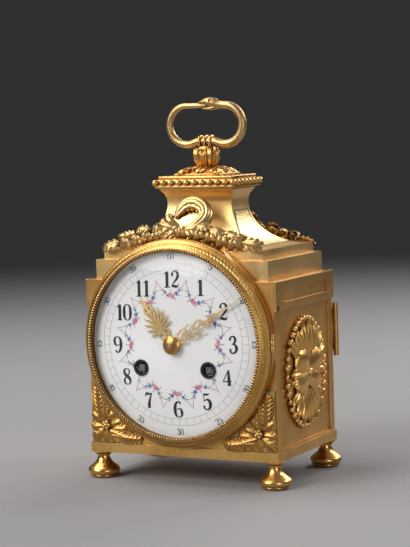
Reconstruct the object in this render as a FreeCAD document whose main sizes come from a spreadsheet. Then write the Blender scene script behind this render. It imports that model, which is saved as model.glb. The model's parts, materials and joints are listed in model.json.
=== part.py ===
import FreeCAD, Part
import math
import os
import Sketcher
from FreeCAD import Placement, Rotation, Vector

# An officer's travelling clock in gilt bronze.
# X points right, Y to the back, Z up; the origin is on the table under the middle of the case.
# Driving dimensions: millimetres, degrees and tooth counts.
DRIVING = {
    "case_width": 107.6, "case_depth": 72.0, "wall": 2.5,
    "foot_height": 13.8, "foot_spread_x": 50.1, "foot_spread_y": 31.8, "foot_radius": 9.0,
    "foot_base_radius": 7.0, "foot_neck_radius": 3.1, "foot_top_radius": 5.4, "foot_belly_rise": 3.9,
    "foot_neck_rise": 9.6, "foot_top_thickness": 1.6, "foot_stud_radius": 1.5, "foot_stud_length": 4.2,
    "foot_belly_land": 1.0, "foot_shoulder": 1.3, "foot_shoulder_rise": 0.9, "foot_top_flare": 1.0,
    "plinth_height": 5.0, "plinth_overhang": 0.8,
    "body_height": 71.2, "frieze_height": 15.0, "frieze_overhang": 1.2, "ledge_bearing": 1.3, "ledge_height": 2.5,
    "field_margin": 5.5, "field_edge": 1.4, "field_depth": 0.8,
    "frieze_field_margin": 8.5, "frieze_field_edge": 4.2, "frieze_field_depth": 0.7,
    "dial_rise": 54.0, "arch_radius": 53.6,
    "step_one_width": 99.4, "step_one_depth": 67.0, "step_one_height": 10.2,
    "step_two_width": 92.4, "step_two_depth": 61.8, "step_two_height": 5.2,
    "neck_width": 37.6, "neck_depth": 20.0, "neck_rise": 23.1,
    "flare_width": 42.6, "flare_depth": 28.0, "flare_rise": 6.9, "flare_band": 0.8,
    "flue_width": 26.0, "flue_depth": 12.0, "flue_floor": 4.0,
    "tie_spread_x": 46.0, "tie_spread_y": 22.0, "tie_radius": 1.3, "tie_head_radius": 2.6,
    "tie_head_height": 1.5, "tie_grip": 7.0, "stud_clearance": 0.05,
    "shelf_width": 45.8, "shelf_depth": 31.4, "shelf_height": 2.0,
    "cornice_width": 43.2, "cornice_depth": 28.6, "cornice_height": 4.2,
    "bead_radius": 2.0, "bead_rise": 1.7, "bead_inset": 0.4, "beads_front": 11, "beads_side": 8,
    "leaf_plate_width": 29.0, "leaf_plate_depth": 20.0, "leaf_plate_height": 3.6,
    "leaf_plate_top_width": 13.0, "leaf_plate_top_depth": 10.0, "leaf_plate_edge": 1.0,
    "socket_radius": 8.2, "socket_foot_radius": 4.2, "socket_top_radius": 5.0, "socket_height": 11.4,
    "socket_belly_rise": 6.0, "socket_belly_land": 1.6, "socket_foot_height": 1.2, "web_sink": 0.8,
    "stem_radius": 1.5, "stem_length": 21.0,
    "nut_radius": 3.0, "nut_height": 2.0,
    "bar_radius": 2.1, "bar_clearance": 0.1, "handle_width": 47.0, "handle_rise": 18.9,
    "handle_axis_rise": 2.6,
    "ring_radius": 3.3, "ring_width": 2.2, "ring_pitch": 3.1,
    "head_length": 13.0, "head_height": 5.8, "head_width": 5.6, "head_offset": 2.0, "head_lift": 1.6,
    "seat_radius": 53.9, "seat_thickness": 3.0, "spigot_radius": 50.5, "spigot_clearance": 0.2,
    "spigot_depth": 6.5, "spigot_wall": 4.0, "collar_height": 2.3, "collar_wall": 1.3,
    "dial_seat_depth": 0.5,
    "dial_radius": 48.3, "dial_clearance": 0.2, "dial_edge": 1.8, "dial_crown": 3.0, "dial_thickness": 1.7,
    "dial_rim": 1.5, "dial_hole": 3.4, "winding_hole": 4.3,
    "bezel_radius": 53.4, "bezel_gap": 0.1, "bezel_depth": 5.9, "bezel_clearance": 0.3, "bezel_band": 1.5,
    "bezel_lip_radius": 47.6, "bezel_lip": 1.0, "bezel_bead": 2.0, "bezel_round": 0.9,
    "glass_crown": 6.0, "glass_thickness": 1.4, "glass_flange": 1.1, "glass_clearance": 0.3,
    "hinge_standoff": 0.4, "knuckle_radius": 1.4, "knuckle_clearance": 0.3, "knuckle_gap": 0.15,
    "hinge_pin_radius": 0.6, "hinge_pin_clearance": 0.05, "bezel_hinge_length": 9.0,
    "bezel_hinge_rise": 2.0,
    "door_hinge_length": 28.5,
    "rear_opening": 47.0, "door_radius": 53.4, "door_thickness": 1.4, "door_rim": 5.0,
    "door_rim_height": 0.9,
    "door_slots": 12, "door_slot_radius": 30.0, "door_slot_length": 12.0, "door_slot_width": 3.2,
    "knob_offset": 43.5, "knob_radius": 3.6, "knob_reach": 9.4, "knob_shaft": 1.6, "knob_clearance": 0.06,
    "knob_collar": 2.8, "knob_collar_length": 1.2, "knob_neck": 1.8, "knob_neck_length": 0.8,
    "knob_crown": 1.0,
    "tongue_length": 7.2, "tongue_width": 2.4, "tongue_thickness": 1.2, "tongue_gap": 0.3,
    "winding_x": 19.3, "winding_drop": 12.4, "arbor_radius": 2.1, "square_size": 3.2, "square_recess": 0.5,
    "running_clearance": 0.05, "end_shake": 0.2, "pivot_inset": 0.3,
    "plate_radius": 42.0, "front_plate_radius": 49.5, "plate_thickness": 2.5, "pillar_length": 30.0,
    "pillar_radius": 2.6, "pillar_circle": 37.5, "pillar_tail": 1.2, "arbor_pivot": 1.2, "arbor_step": 0.3,
    "fixing_radius": 0.8, "fixing_head": 1.6, "fixing_depth": 5.5, "fixing_head_height": 1.2,
    "great_teeth": 80, "great_gap": 1.5, "barrel_wall": 1.4, "barrel_rim": 1.9, "barrel_height": 21.0,
    "great_thickness": 2.0, "barrel_end": 1.5, "barrel_cap": 1.2, "spring_turns": 5, "spring_strip": 0.7,
    "spring_inner_gap": 1.1, "spring_outer_gap": 0.2, "spring_side_gap": 0.3, "cap_hole": 1.6,
    "cap_hole_drop": 9.0,
    "ratchet_radius": 6.0, "ratchet_teeth": 24, "ratchet_thickness": 1.8, "ratchet_tooth": 0.8,
    "click_gap": 0.15, "click_distance": 4.0, "click_eye": 1.7, "click_width": 1.0, "click_angle": 80.0,
    "click_nose_angle": 30.0,
    "small_pinion": 10, "centre_pinion": 12, "second_teeth": 72, "second_module": 0.40,
    "third_teeth": 75, "third_module": 0.30, "centre_teeth": 80, "centre_module": 0.35,
    "fourth_teeth": 70, "fourth_module": 0.28, "escape_pinion": 7, "pin_teeth": 60, "pin_module": 0.35,
    "fly_pinion": 8, "pins": 8, "pin_radius": 0.4, "pin_length": 2.0,
    "pin_rim": 1.1, "fly_reach": 6.0, "fly_width": 9.0, "fly_sheet": 0.5, "fly_gap": 5.5,
    "wheel_thickness": 1.0,
    "wheel_rim": 2.0, "wheel_hub": 3.2, "wheel_arm": 1.6, "pinion_overhang": 0.4, "open_mesh": 0.3,
    "short_pinion": 2.7,
    "train_rod": 1.0, "pivot_radius": 0.5, "centre_rod": 0.9,
    "third_angle": 90.0, "fourth_angle": 38.0, "escape_angle": -5.0, "lever_angle": 10.0,
    "balance_angle": -50.0,
    "cock_angle": -100.0, "pin_angle": 95.0, "fly_angle": 35.0, "second_gap": 0.9, "strike_second_gap": 3.5,
    "centre_gap": 0.8, "third_gap": 4.0, "pin_gap": 0.5, "fourth_gap": 3.3,
    "cannon_teeth": 12, "minute_teeth": 36, "cannon_module": 0.5, "minute_pinion": 10, "hour_teeth": 40,
    "cannon_pipe": 1.5, "hour_pipe": 2.5, "motion_gap": 1.3, "cannon_front": 0.6,
    "minute_pinion_length": 4.0,
    "hour_inset": 0.4, "pipe_lead": 0.1, "stud_lead": 0.8, "motion_hub": 2.6, "hour_hub": 3.4,
    "motion_rim": 1.6,
    "hour_hand_lift": 0.5, "hour_hand_thickness": 0.5, "hour_hand_length": 30.6, "hour_hand_angle": 128.0,
    "minute_hand_lift": 1.4, "minute_hand_thickness": 0.5, "minute_hand_length": 46.5,
    "minute_hand_angle": 32.4,
    "hour_hand_hub": 4.2, "hour_hand_swell": 4.6, "minute_hand_hub": 3.6, "minute_hand_swell": 3.0,
    "hand_stem": 2.0,
    "hand_neck": 1.2, "hand_shoulder": 1.0, "hand_point": 0.35, "hand_fit": 0.02,
    "boss_radius": 4.7, "boss_height": 2.3, "boss_edge": 0.6, "boss_bore_depth": 1.5, "boss_gap": 0.05,
    "centre_rod_lead": 1.3,
    "bell_radius": 24.0, "bell_crown_radius": 3.2, "bell_height": 15.0, "bell_wall": 1.6,
    "bell_standoff": 7.5,
    "post_radius": 2.0, "post_neck": 1.2, "post_foot": 4.0, "post_foot_height": 1.5, "post_lead": 2.6,
    "hammer_gap": 0.5, "hammer_head": 2.6, "hammer_x": -36.5, "hammer_z": 6.0, "hammer_angle": 150.0,
    "hammer_arm": 2.0, "hammer_arm_thickness": 1.6, "hammer_arm_rise": 1.5, "hammer_tail": 8.0,
    "hammer_tail_width": 1.4,
    "platform_thickness": 1.0, "platform_margin": 2.6, "platform_edge": 1.6, "lever_rise": 1.7,
    "lever_thickness": 0.6,
    "lever_arm": 3.2, "lever_width": 0.8, "lever_eye": 1.1, "lever_pivot": 0.35, "lever_distance": 2.2,
    "pallet_gap": 0.55,
    "pallet_width": 0.7, "fork_gap": 0.35, "roller_radius": 1.4,
    "escape_radius": 4.2, "escape_teeth": 15, "escape_rod": 0.6, "escape_pivot": 0.3, "escape_pass": 1.4,
    "bridge_rise": 1.4, "bridge_thickness": 1.0, "bridge_width": 2.6, "bridge_post": 1.0,
    "bridge_post_gap": 1.4,
    "bridge_post_rise": 6.0,
    "balance_radius": 8.0, "balance_distance": 7.5, "balance_rim": 1.2, "balance_rise": 0.8,
    "balance_thickness": 1.0, "balance_rod": 0.6, "balance_pivot": 0.3, "hairspring_inner": 0.7,
    "hairspring_outer": 4.2,
    "hairspring_turns": 3, "hairspring_strip": 0.25, "hairspring_width": 0.6, "hairspring_rise": 0.5,
    "cock_rise": 1.1,
    "cock_thickness": 1.4, "cock_width": 3.4, "cock_foot": 2.2, "cock_gap": 3.0,
    "rosette_half_depth": 25.0, "rosette_half_height": 30.0, "rosette_drop": 17.5, "rosette_base": 1.4,
    "rosette_relief": 6.5, "rosette_beads": 30, "rosette_bead_radius": 1.3, "rosette_petals": 8,
    "rosette_heart": 5.0, "rosette_edge": 1.0,
    "corner_reach": 30.0, "corner_height": 32.0, "corner_thickness": 2.6, "corner_gap": 0.6,
    "corner_inset": 0.3,
    "corner_flower_inset": 9.5, "corner_flower_radius": 4.6, "corner_flower_rise": 1.8,
    "corner_leaf_rise": 1.0,
    "corner_long_leaf": 20.0, "corner_mid_leaf": 14.0, "corner_short_leaf": 11.0,
    "spray_reach": 45.0, "spray_start": 5.0, "spray_lift": 2.0, "spray_leaves": 7, "leaf_length": 13.0,
    "leaf_width": 7.0, "leaf_thickness": 2.4, "branch_radius": 1.5, "scroll_radius": 8.4,
    "scroll_tube": 2.7, "scroll_offset": 2.0,
    "scroll_setback": 5.0, "scroll_stem": 2.5, "garland_gap": 0.15,
}

doc = FreeCAD.newDocument("officers_clock")
sheet = doc.addObject("Spreadsheet::Sheet", "Sizes")
for row, (alias, value) in enumerate(DRIVING.items(), start=1):
    sheet.set(f"A{row}", alias)
    sheet.set(f"B{row}", str(value))
    sheet.setAlias(f"B{row}", alias)
doc.recompute()


class Size:
    """A size with its present value and the expression that binds it to the sheet."""

    def __init__(self, text, value):
        self.text = text
        self.value = float(value)

    def __add__(self, other):
        return Size(f"({self.text} + {text(other)})", self.value + number(other))

    def __sub__(self, other):
        return Size(f"({self.text} - {text(other)})", self.value - number(other))

    def __mul__(self, other):
        return Size(f"({self.text} * {text(other)})", self.value * number(other))

    def __truediv__(self, other):
        return Size(f"({self.text} / {text(other)})", self.value / number(other))

    def __rsub__(self, other):
        return Size(f"({text(other)} - {self.text})", number(other) - self.value)

    def __neg__(self):
        return Size(f"(0 - {self.text})", -self.value)

    def __float__(self):
        return self.value

    __radd__ = __add__
    __rmul__ = __mul__


def number(size):
    return size.value if isinstance(size, Size) else float(size)


def text(size):
    return size.text if isinstance(size, Size) else repr(float(size))


class Sheet:
    """The sheet's cells as sizes, by alias."""


s = Sheet()
for alias in DRIVING:
    setattr(s, alias, Size("Sizes." + alias, sheet.get(alias)))

nodes = {}


def node(label, obj):
    obj.Label = label
    nodes[label] = obj
    return obj


def feature(label, shape):
    obj = doc.addObject("Part::Feature", label)
    obj.Shape = shape
    return node(label, obj)


def place(obj, at, turn=None):
    obj.Placement = Placement(Vector(*[number(part) for part in at]), turn or Rotation())
    for axis, part in zip("xyz", at):
        if isinstance(part, Size):
            obj.setExpression("Placement.Base." + axis, part.text)
    return obj


def bind(obj, name, size):
    setattr(obj, name, number(size))
    if isinstance(size, Size):
        obj.setExpression(name, size.text)


def box(name, low, high):
    obj = doc.addObject("Part::Box", name)
    for side, start, end in zip(("Length", "Width", "Height"), low, high):
        bind(obj, side, end - start)
    return place(obj, low)


TURN = {"x": Rotation(Vector(0, 1, 0), 90), "y": Rotation(Vector(1, 0, 0), -90), "z": Rotation()}


def cylinder(name, base, radius, length, axis="z"):
    obj = doc.addObject("Part::Cylinder", name)
    bind(obj, "Radius", radius)
    bind(obj, "Height", length)
    return place(obj, base, TURN[axis])


def fuse(name, shapes):
    obj = doc.addObject("Part::MultiFuse", name)
    obj.Shapes = shapes
    return obj


def cut(name, base, tools):
    obj = doc.addObject("Part::Cut", name)
    obj.Base = base
    obj.Tool = tools[0] if len(tools) == 1 else group(name + "_tools", tools)
    return obj


def common(name, first, second):
    obj = doc.addObject("Part::Common", name)
    obj.Base = first
    obj.Tool = second
    return obj


def group(name, parts):
    obj = doc.addObject("Part::Compound", name)
    obj.Links = parts
    return obj


def arc_of(start, end, radius):
    """The short arc from start to end: a positive radius turns left, a negative one right."""
    a = Vector(start[0], start[1], 0)
    b = Vector(end[0], end[1], 0)
    chord = b - a
    left = Vector(-chord.y, chord.x, 0).normalize()
    offset = math.sqrt(max(radius * radius - chord.Length ** 2 / 4, 0))
    centre = (a + b) * 0.5 + left * math.copysign(offset, radius)
    ends = [a, b] if radius > 0 else [b, a]
    angles = [math.atan2(p.y - centre.y, p.x - centre.x) for p in ends]
    return Part.ArcOfCircle(Part.Circle(centre, Vector(0, 0, 1), abs(radius)), *angles)


def outline(body, name, plane, points):
    """A closed sketch through the points; a third number in a point is the radius of the arc that leaves it."""
    sketch = body.newObject("Sketcher::SketchObject", name)
    sketch.AttachmentSupport = [(next(o for o in body.Origin.OriginFeatures if o.Role == plane), "")]
    sketch.MapMode = "FlatFace"
    values = [(number(p[0]), number(p[1])) for p in points]
    ends = []
    for i, point in enumerate(points):
        start, end = values[i], values[(i + 1) % len(points)]
        if len(point) == 3:
            geometry = sketch.addGeometry(arc_of(start, end, number(point[2])))
            ends.append((geometry, 1, 2) if number(point[2]) > 0 else (geometry, 2, 1))
        else:
            line = Part.LineSegment(Vector(*start, 0), Vector(*end, 0))
            ends.append((sketch.addGeometry(line), 1, 2))

    def constrain(size, *terms):
        index = sketch.addConstraint(Sketcher.Constraint(*terms, number(size)))
        if isinstance(size, Size):
            sketch.setExpression(f"Constraints[{index}]", size.text)

    for i, point in enumerate(points):
        geometry, first, last = ends[i]
        following = ends[(i + 1) % len(points)]
        sketch.addConstraint(Sketcher.Constraint("Coincident", geometry, last, following[0], following[1]))
        for size, kind, axis in ((point[0], "DistanceX", -2), (point[1], "DistanceY", -1)):
            if number(size) == 0:
                sketch.addConstraint(Sketcher.Constraint("PointOnObject", geometry, first, axis))
            else:
                constrain(size, kind, -1, 1, geometry, first)
        if len(point) == 3:
            radius = point[2] if number(point[2]) > 0 else 0 - point[2]
            constrain(radius, "Radius", geometry)
    return sketch


def turned(name, points, axis="z", at=(0, 0, 0)):
    """A turned piece. About z the points are (radius, height); about y they are (depth, radius)."""
    body = doc.addObject("PartDesign::Body", name)
    sketch = outline(body, name + "_profile", "XZ_Plane" if axis == "z" else "YZ_Plane", points)
    turn = body.newObject("PartDesign::Revolution", name + "_turning")
    turn.Profile = sketch
    turn.ReferenceAxis = (sketch, ["V_Axis" if axis == "z" else "H_Axis"])
    turn.Angle = 360
    return place(body, at)


def padded(name, plane, points, length, at=(0, 0, 0)):
    body = doc.addObject("PartDesign::Body", name)
    sketch = outline(body, name + "_profile", plane, points)
    pad = body.newObject("PartDesign::Pad", name + "_pad")
    pad.Profile = sketch
    pad.SideType = "Symmetric"
    bind(pad, "Length", length)
    return place(body, at)


def cap_arc(span, rise):
    """The radius of an arc that rises by rise over half a chord of span."""
    return (span * span + rise * rise) / (rise * 2)


# Levels of the case, from the table up
plinth_top = s.foot_height + s.plinth_height
frieze_base = plinth_top + s.body_height
case_top = frieze_base + s.frieze_height
step_two_base = case_top + s.step_one_height
roof_base = step_two_base + s.step_two_height
neck_level = roof_base + s.neck_rise
flare_level = neck_level + s.flare_rise
roof_top = flare_level + s.flare_band
shelf_top = roof_top + s.shelf_height
cornice_top = shelf_top + s.cornice_height
leaf_plate_top = cornice_top + s.leaf_plate_height
socket_top = leaf_plate_top + s.socket_height
handle_axis = socket_top + s.handle_axis_rise
axis_z = plinth_top + s.dial_rise
half_width = s.case_width / 2
half_depth = s.case_depth / 2
inner_width = half_width - s.wall
inner_depth = half_depth - s.wall
CORNERS = [(-1, -1), (1, -1), (-1, 1), (1, 1)]


def feet():
    belly_top = s.foot_belly_rise + s.foot_belly_land / 2
    collar = s.foot_height - s.foot_top_thickness
    points = [
        (0, 0), (s.foot_base_radius, 0), (s.foot_radius, s.foot_belly_rise - s.foot_belly_land / 2),
        (s.foot_radius, belly_top), (s.foot_radius - s.foot_shoulder, belly_top + s.foot_shoulder_rise),
        (s.foot_neck_radius, s.foot_neck_rise), (s.foot_neck_radius, collar - s.foot_top_flare),
        (s.foot_top_radius, collar), (s.foot_top_radius, s.foot_height),
        (s.foot_stud_radius, s.foot_height), (s.foot_stud_radius, s.foot_height + s.foot_stud_length),
        (0, s.foot_height + s.foot_stud_length),
    ]
    made = []
    for i, (x, y) in enumerate(CORNERS):
        made.append(turned(f"foot_{i}", points, at=(s.foot_spread_x * x, s.foot_spread_y * y, 0)))
    node("feet", group("feet", made))


def plinth():
    out_x = half_width + s.plinth_overhang
    out_y = half_depth + s.plinth_overhang
    plate = box("plinth_plate", (-out_x, -out_y, s.foot_height), (out_x, out_y, plinth_top))
    holes = []
    for i, (x, y) in enumerate(CORNERS):
        tie = (s.tie_spread_x * x, s.tie_spread_y * y, s.foot_height)
        foot = (s.foot_spread_x * x, s.foot_spread_y * y, s.foot_height)
        holes.append(cylinder(f"plinth_tie_{i}", tie, s.tie_radius + s.stud_clearance, s.plinth_height))
        holes.append(cylinder(f"plinth_head_{i}", tie, s.tie_head_radius + s.stud_clearance, s.tie_head_height))
        depth = s.foot_stud_length + s.stud_clearance
        holes.append(cylinder(f"plinth_foot_{i}", foot, s.foot_stud_radius + s.stud_clearance, depth))
    ties = fuse("plinth_holes", holes)
    node("plinth", cut("plinth", plate, [ties]))


def tie_rods():
    length = case_top - s.foot_height + s.tie_grip
    points = [
        (0, 0), (s.tie_head_radius, 0), (s.tie_head_radius, s.tie_head_height),
        (s.tie_radius, s.tie_head_height), (s.tie_radius, length), (0, length),
    ]
    made = []
    for i, (x, y) in enumerate(CORNERS):
        at = (s.tie_spread_x * x, s.tie_spread_y * y, s.foot_height)
        made.append(turned(f"tie_rod_{i}", points, at=at))
    node("tie_rods", group("tie_rods", made))


def arched_panel(name, back, opening):
    """A case end: a plate as wide as the case, its round head, and the tool that cuts its opening."""
    front = -half_depth if not back else inner_depth
    plate = box(name + "_plate", (-half_width, front, plinth_top), (half_width, front + s.wall, case_top))
    head = cylinder(name + "_head", (0, front, axis_z), s.arch_radius, s.wall, "y")
    above = box(name + "_above", (-half_width, front, frieze_base), (half_width, front + s.wall, roof_top))
    arch = common(name + "_arch", head, above)
    hole = cylinder(name + "_opening", (0, front - s.wall, axis_z), opening, s.wall * 3, "y")
    return plate, arch, hole


def corner_centre(side):
    """The flower of a lower front corner mount, where its stud passes the panel."""
    return (half_width - s.corner_flower_inset) * side, plinth_top + s.corner_flower_inset


def front_panel():
    plate, arch, hole = arched_panel("front", False, s.spigot_radius + s.spigot_clearance)
    whole = fuse("front_whole", [plate, arch])
    studs = []
    for i, side in enumerate((-1, 1)):
        x, z = corner_centre(side)
        at = (x, -half_depth - s.wall, z)
        studs.append(cylinder(f"front_stud_{i}", at, s.stem_radius + s.stud_clearance, s.wall * 3, "y"))
    node("front_panel", cut("front_panel", whole, [hole] + studs))


def knuckles(length, centre):
    """The heights of the three knuckles of a hinge: lower, middle, upper."""
    low = centre - length / 2
    third = length / 3
    return [(low + third * i, third) for i in range(3)]


hinge_x = s.seat_radius + s.hinge_standoff
hinge_y = half_depth + s.seat_thickness + s.hinge_standoff


def knuckle_parts(name, side, length, centre, fixed):
    """Knuckles of one leaf, the room cut for the other leaf's, and the bore for the pin."""
    at = knuckles(length, centre)
    mine = [0, 2] if fixed else [1]
    y = hinge_y * side
    made = []
    rooms = []
    for i, (low, height) in enumerate(at):
        if i in mine:
            made.append(cylinder(f"{name}_knuckle_{i}", (hinge_x, y, low), s.knuckle_radius, height))
        else:
            base = (hinge_x, y, low - s.knuckle_gap)
            radius = s.knuckle_radius + s.knuckle_clearance
            rooms.append(cylinder(f"{name}_room_{i}", base, radius, height + s.knuckle_gap * 2))
    low = (hinge_x, y, centre - length)
    bore = cylinder(f"{name}_pin_bore", low, s.hinge_pin_radius + s.hinge_pin_clearance, length * 2)
    return made, rooms + [bore]


def rear_panel():
    plate, arch, hole = arched_panel("rear", True, s.rear_opening)
    bored = cut("rear_bored", fuse("rear_blank", [plate, arch]), [hole])
    seat = turned("rear_seat", [
        (half_depth, s.rear_opening), (half_depth + s.seat_thickness, s.rear_opening),
        (half_depth + s.seat_thickness, s.seat_radius), (half_depth, s.seat_radius),
    ], "y", (0, 0, axis_z))
    made, rooms = knuckle_parts("rear", 1, s.door_hinge_length, axis_z, True)
    node("rear_panel", cut("rear_panel", fuse("rear_whole", [bored, seat] + made), rooms))


def side_panel(side, label):
    """A side plate between the end panels, with a projecting frieze, two sunk fields and a ledge for the roof."""
    inner = inner_width * side
    outer = half_width * side
    proud = (half_width + s.frieze_overhang) * side
    low, high = (inner, outer) if side > 0 else (outer, inner)
    wide_low, wide_high = (inner, proud) if side > 0 else (proud, inner)
    wall = box(label + "_wall", (low, -inner_depth, plinth_top), (high, inner_depth, frieze_base))
    frieze = box(label + "_frieze", (wide_low, -inner_depth, frieze_base), (wide_high, inner_depth, case_top))
    rest = (s.step_one_width / 2 - s.ledge_bearing) * side
    ledge_low, ledge_high = (rest, inner) if side > 0 else (inner, rest)
    ledge = box(label + "_ledge", (ledge_low, -inner_depth, case_top - s.ledge_height),
                (ledge_high, inner_depth, case_top))
    cheeks = []
    for i, end in enumerate((-1, 1)):
        a, b = (inner_depth * end, half_depth * end)
        near, far = (a, b) if end > 0 else (b, a)
        skin = (outer, proud) if side > 0 else (proud, outer)
        cheeks.append(box(f"{label}_cheek_{i}", (skin[0], near, frieze_base), (skin[1], far, case_top)))
    field_y = half_depth - s.field_margin
    sunk = outer - s.field_depth * side
    cut_low, cut_high = (sunk, proud) if side > 0 else (proud, sunk)
    field = box(label + "_field", (cut_low, -field_y, plinth_top + s.field_edge),
                (cut_high, field_y, frieze_base - s.field_edge))
    band_y = half_depth - s.frieze_field_margin
    band_sunk = proud - s.frieze_field_depth * side
    clear = proud + s.wall * side
    band_low, band_high = (band_sunk, clear) if side > 0 else (clear, band_sunk)
    band = box(label + "_band", (band_low, -band_y, frieze_base + s.frieze_field_edge),
               (band_high, band_y, case_top - s.frieze_field_edge))
    stud = cylinder(label + "_stud", (low - s.wall, 0, axis_z - s.rosette_drop),
                    s.stem_radius + s.stud_clearance, s.wall * 4, "x")
    whole = fuse(label + "_whole", [wall, frieze, ledge] + cheeks)
    node(label, cut(label, whole, [field, band, stud]))


def concave_outline(base_one, base_two, neck, flare):
    """Half-widths of the roof from its first step up through the hollow curve to the flared top."""
    sweep = cap_arc(s.neck_rise, base_two - neck)
    throat = cap_arc(s.flare_rise, flare - neck)
    right = [
        (base_one, case_top), (base_one, step_two_base), (base_two, step_two_base), (base_two, roof_base, -sweep),
        (neck, neck_level, -throat), (flare, flare_level), (flare, roof_top),
    ]
    left = [
        (-flare, roof_top), (-flare, flare_level, -throat), (-neck, neck_level, -sweep), (-base_two, roof_base),
        (-base_two, step_two_base), (-base_one, step_two_base), (-base_one, case_top),
    ]
    return right + left


def roof():
    wide = concave_outline(s.step_one_width / 2, s.step_two_width / 2, s.neck_width / 2, s.flare_width / 2)
    deep = concave_outline(s.step_one_depth / 2, s.step_two_depth / 2, s.neck_depth / 2, s.flare_depth / 2)
    long_way = padded("roof_front_outline", "XZ_Plane", wide, s.case_depth)
    cross_way = padded("roof_side_outline", "YZ_Plane", deep, s.case_width)
    hollow = common("roof_outside", long_way, cross_way)
    barrel = cylinder("roof_vault_round", (0, -inner_depth, axis_z), s.arch_radius, inner_depth * 2, "y")
    above = box("roof_above", (-half_width, -half_depth, case_top), (half_width, half_depth, roof_top))
    vault = common("roof_vault", barrel, above)
    room = cylinder("roof_room", (0, -half_depth, axis_z), s.spigot_radius + s.spigot_clearance, s.case_depth, "y")
    flue = box("roof_flue", (-s.flue_width / 2, -s.flue_depth / 2, axis_z),
               (s.flue_width / 2, s.flue_depth / 2, roof_top - s.flue_floor))
    holes = [cylinder("roof_stem", (0, 0, neck_level), s.stem_radius + s.stud_clearance, s.flare_rise * 2)]
    for i, (x, y) in enumerate(CORNERS):
        at = (s.tie_spread_x * x, s.tie_spread_y * y, case_top - s.wall)
        holes.append(cylinder(f"roof_tie_{i}", at, s.tie_radius + s.stud_clearance,
                              s.tie_grip + s.wall + s.stud_clearance))
    inside = fuse("roof_inside", [room, flue] + holes)
    node("roof", cut("roof", fuse("roof_whole", [hollow, vault]), [inside]))


def cornice():
    """A shelf and plate with a row of beads round all four sides."""
    half_x, half_y = number(s.shelf_width) / 2, number(s.shelf_depth) / 2
    up_x, up_y = number(s.cornice_width) / 2, number(s.cornice_depth) / 2
    low, mid, top = number(roof_top), number(shelf_top), number(cornice_top)
    shape = Part.makeBox(2 * half_x, 2 * half_y, mid - low, Vector(-half_x, -half_y, low))
    upper = Part.makeBox(2 * up_x, 2 * up_y, top - mid, Vector(-up_x, -up_y, mid))
    across, along = int(number(s.beads_front)), int(number(s.beads_side))
    level = mid + number(s.bead_rise)
    row_x, row_y = half_x - number(s.bead_inset), half_y - number(s.bead_inset)
    centres = []
    for i in range(across):
        x = -row_x + 2 * row_x * i / (across - 1)
        centres += [(x, -row_y), (x, row_y)]
    for i in range(1, along - 1):
        y = -row_y + 2 * row_y * i / (along - 1)
        centres += [(-row_x, y), (row_x, y)]
    beads = [Part.makeSphere(number(s.bead_radius), Vector(x, y, level)) for x, y in centres]
    hole = Part.makeCylinder(number(s.stem_radius + s.stud_clearance), top - low, Vector(0, 0, low))
    feature("cornice", shape.multiFuse([upper] + beads).cut(hole))


def leaf_plate():
    def trapezium(wide, top):
        edge = cornice_top + s.leaf_plate_edge
        return [(wide / 2, cornice_top), (wide / 2, edge), (top / 2, leaf_plate_top),
                (-top / 2, leaf_plate_top), (-wide / 2, edge), (-wide / 2, cornice_top)]

    along = padded("leaf_plate_front", "XZ_Plane", trapezium(s.leaf_plate_width, s.leaf_plate_top_width),
                   s.leaf_plate_depth)
    across = padded("leaf_plate_side", "YZ_Plane", trapezium(s.leaf_plate_depth, s.leaf_plate_top_depth),
                    s.leaf_plate_width)
    bore = s.stem_radius + s.stud_clearance
    hole = cylinder("leaf_plate_hole", (0, 0, shelf_top), bore, s.leaf_plate_height * 3)
    node("leaf_plate", cut("leaf_plate", common("leaf_plate_blank", along, across), [hole]))


def handle_socket():
    """The knop: a stem that goes down through the roof, a leaf bulb and three rings round the handle bar."""
    stem_end = leaf_plate_top - s.stem_length
    belly = leaf_plate_top + s.socket_belly_rise
    knop = turned("knop", [
        (0, stem_end), (s.stem_radius, stem_end), (s.stem_radius, leaf_plate_top),
        (s.socket_foot_radius, leaf_plate_top), (s.socket_foot_radius, leaf_plate_top + s.socket_foot_height),
        (s.socket_radius, belly), (s.socket_radius, belly + s.socket_belly_land),
        (s.socket_top_radius, socket_top),
        (0, socket_top),
    ])
    rings = []
    for i in (-1, 0, 1):
        at = (s.ring_pitch * i - s.ring_width / 2, 0, handle_axis)
        rings.append(cylinder(f"knop_ring_{i + 1}", at, s.ring_radius, s.ring_width, "x"))
    web = box("knop_web", (-s.ring_pitch - s.ring_width / 2, -s.bar_radius, socket_top - s.web_sink),
              (s.ring_pitch + s.ring_width / 2, s.bar_radius, handle_axis - s.bar_radius))
    bore = cylinder("knop_bore", (-s.socket_radius * 2, 0, handle_axis), s.bar_radius + s.bar_clearance,
                    s.socket_radius * 4, "x")
    node("handle_socket", cut("handle_socket", fuse("knop_whole", [knop, web] + rings), [bore]))


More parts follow.
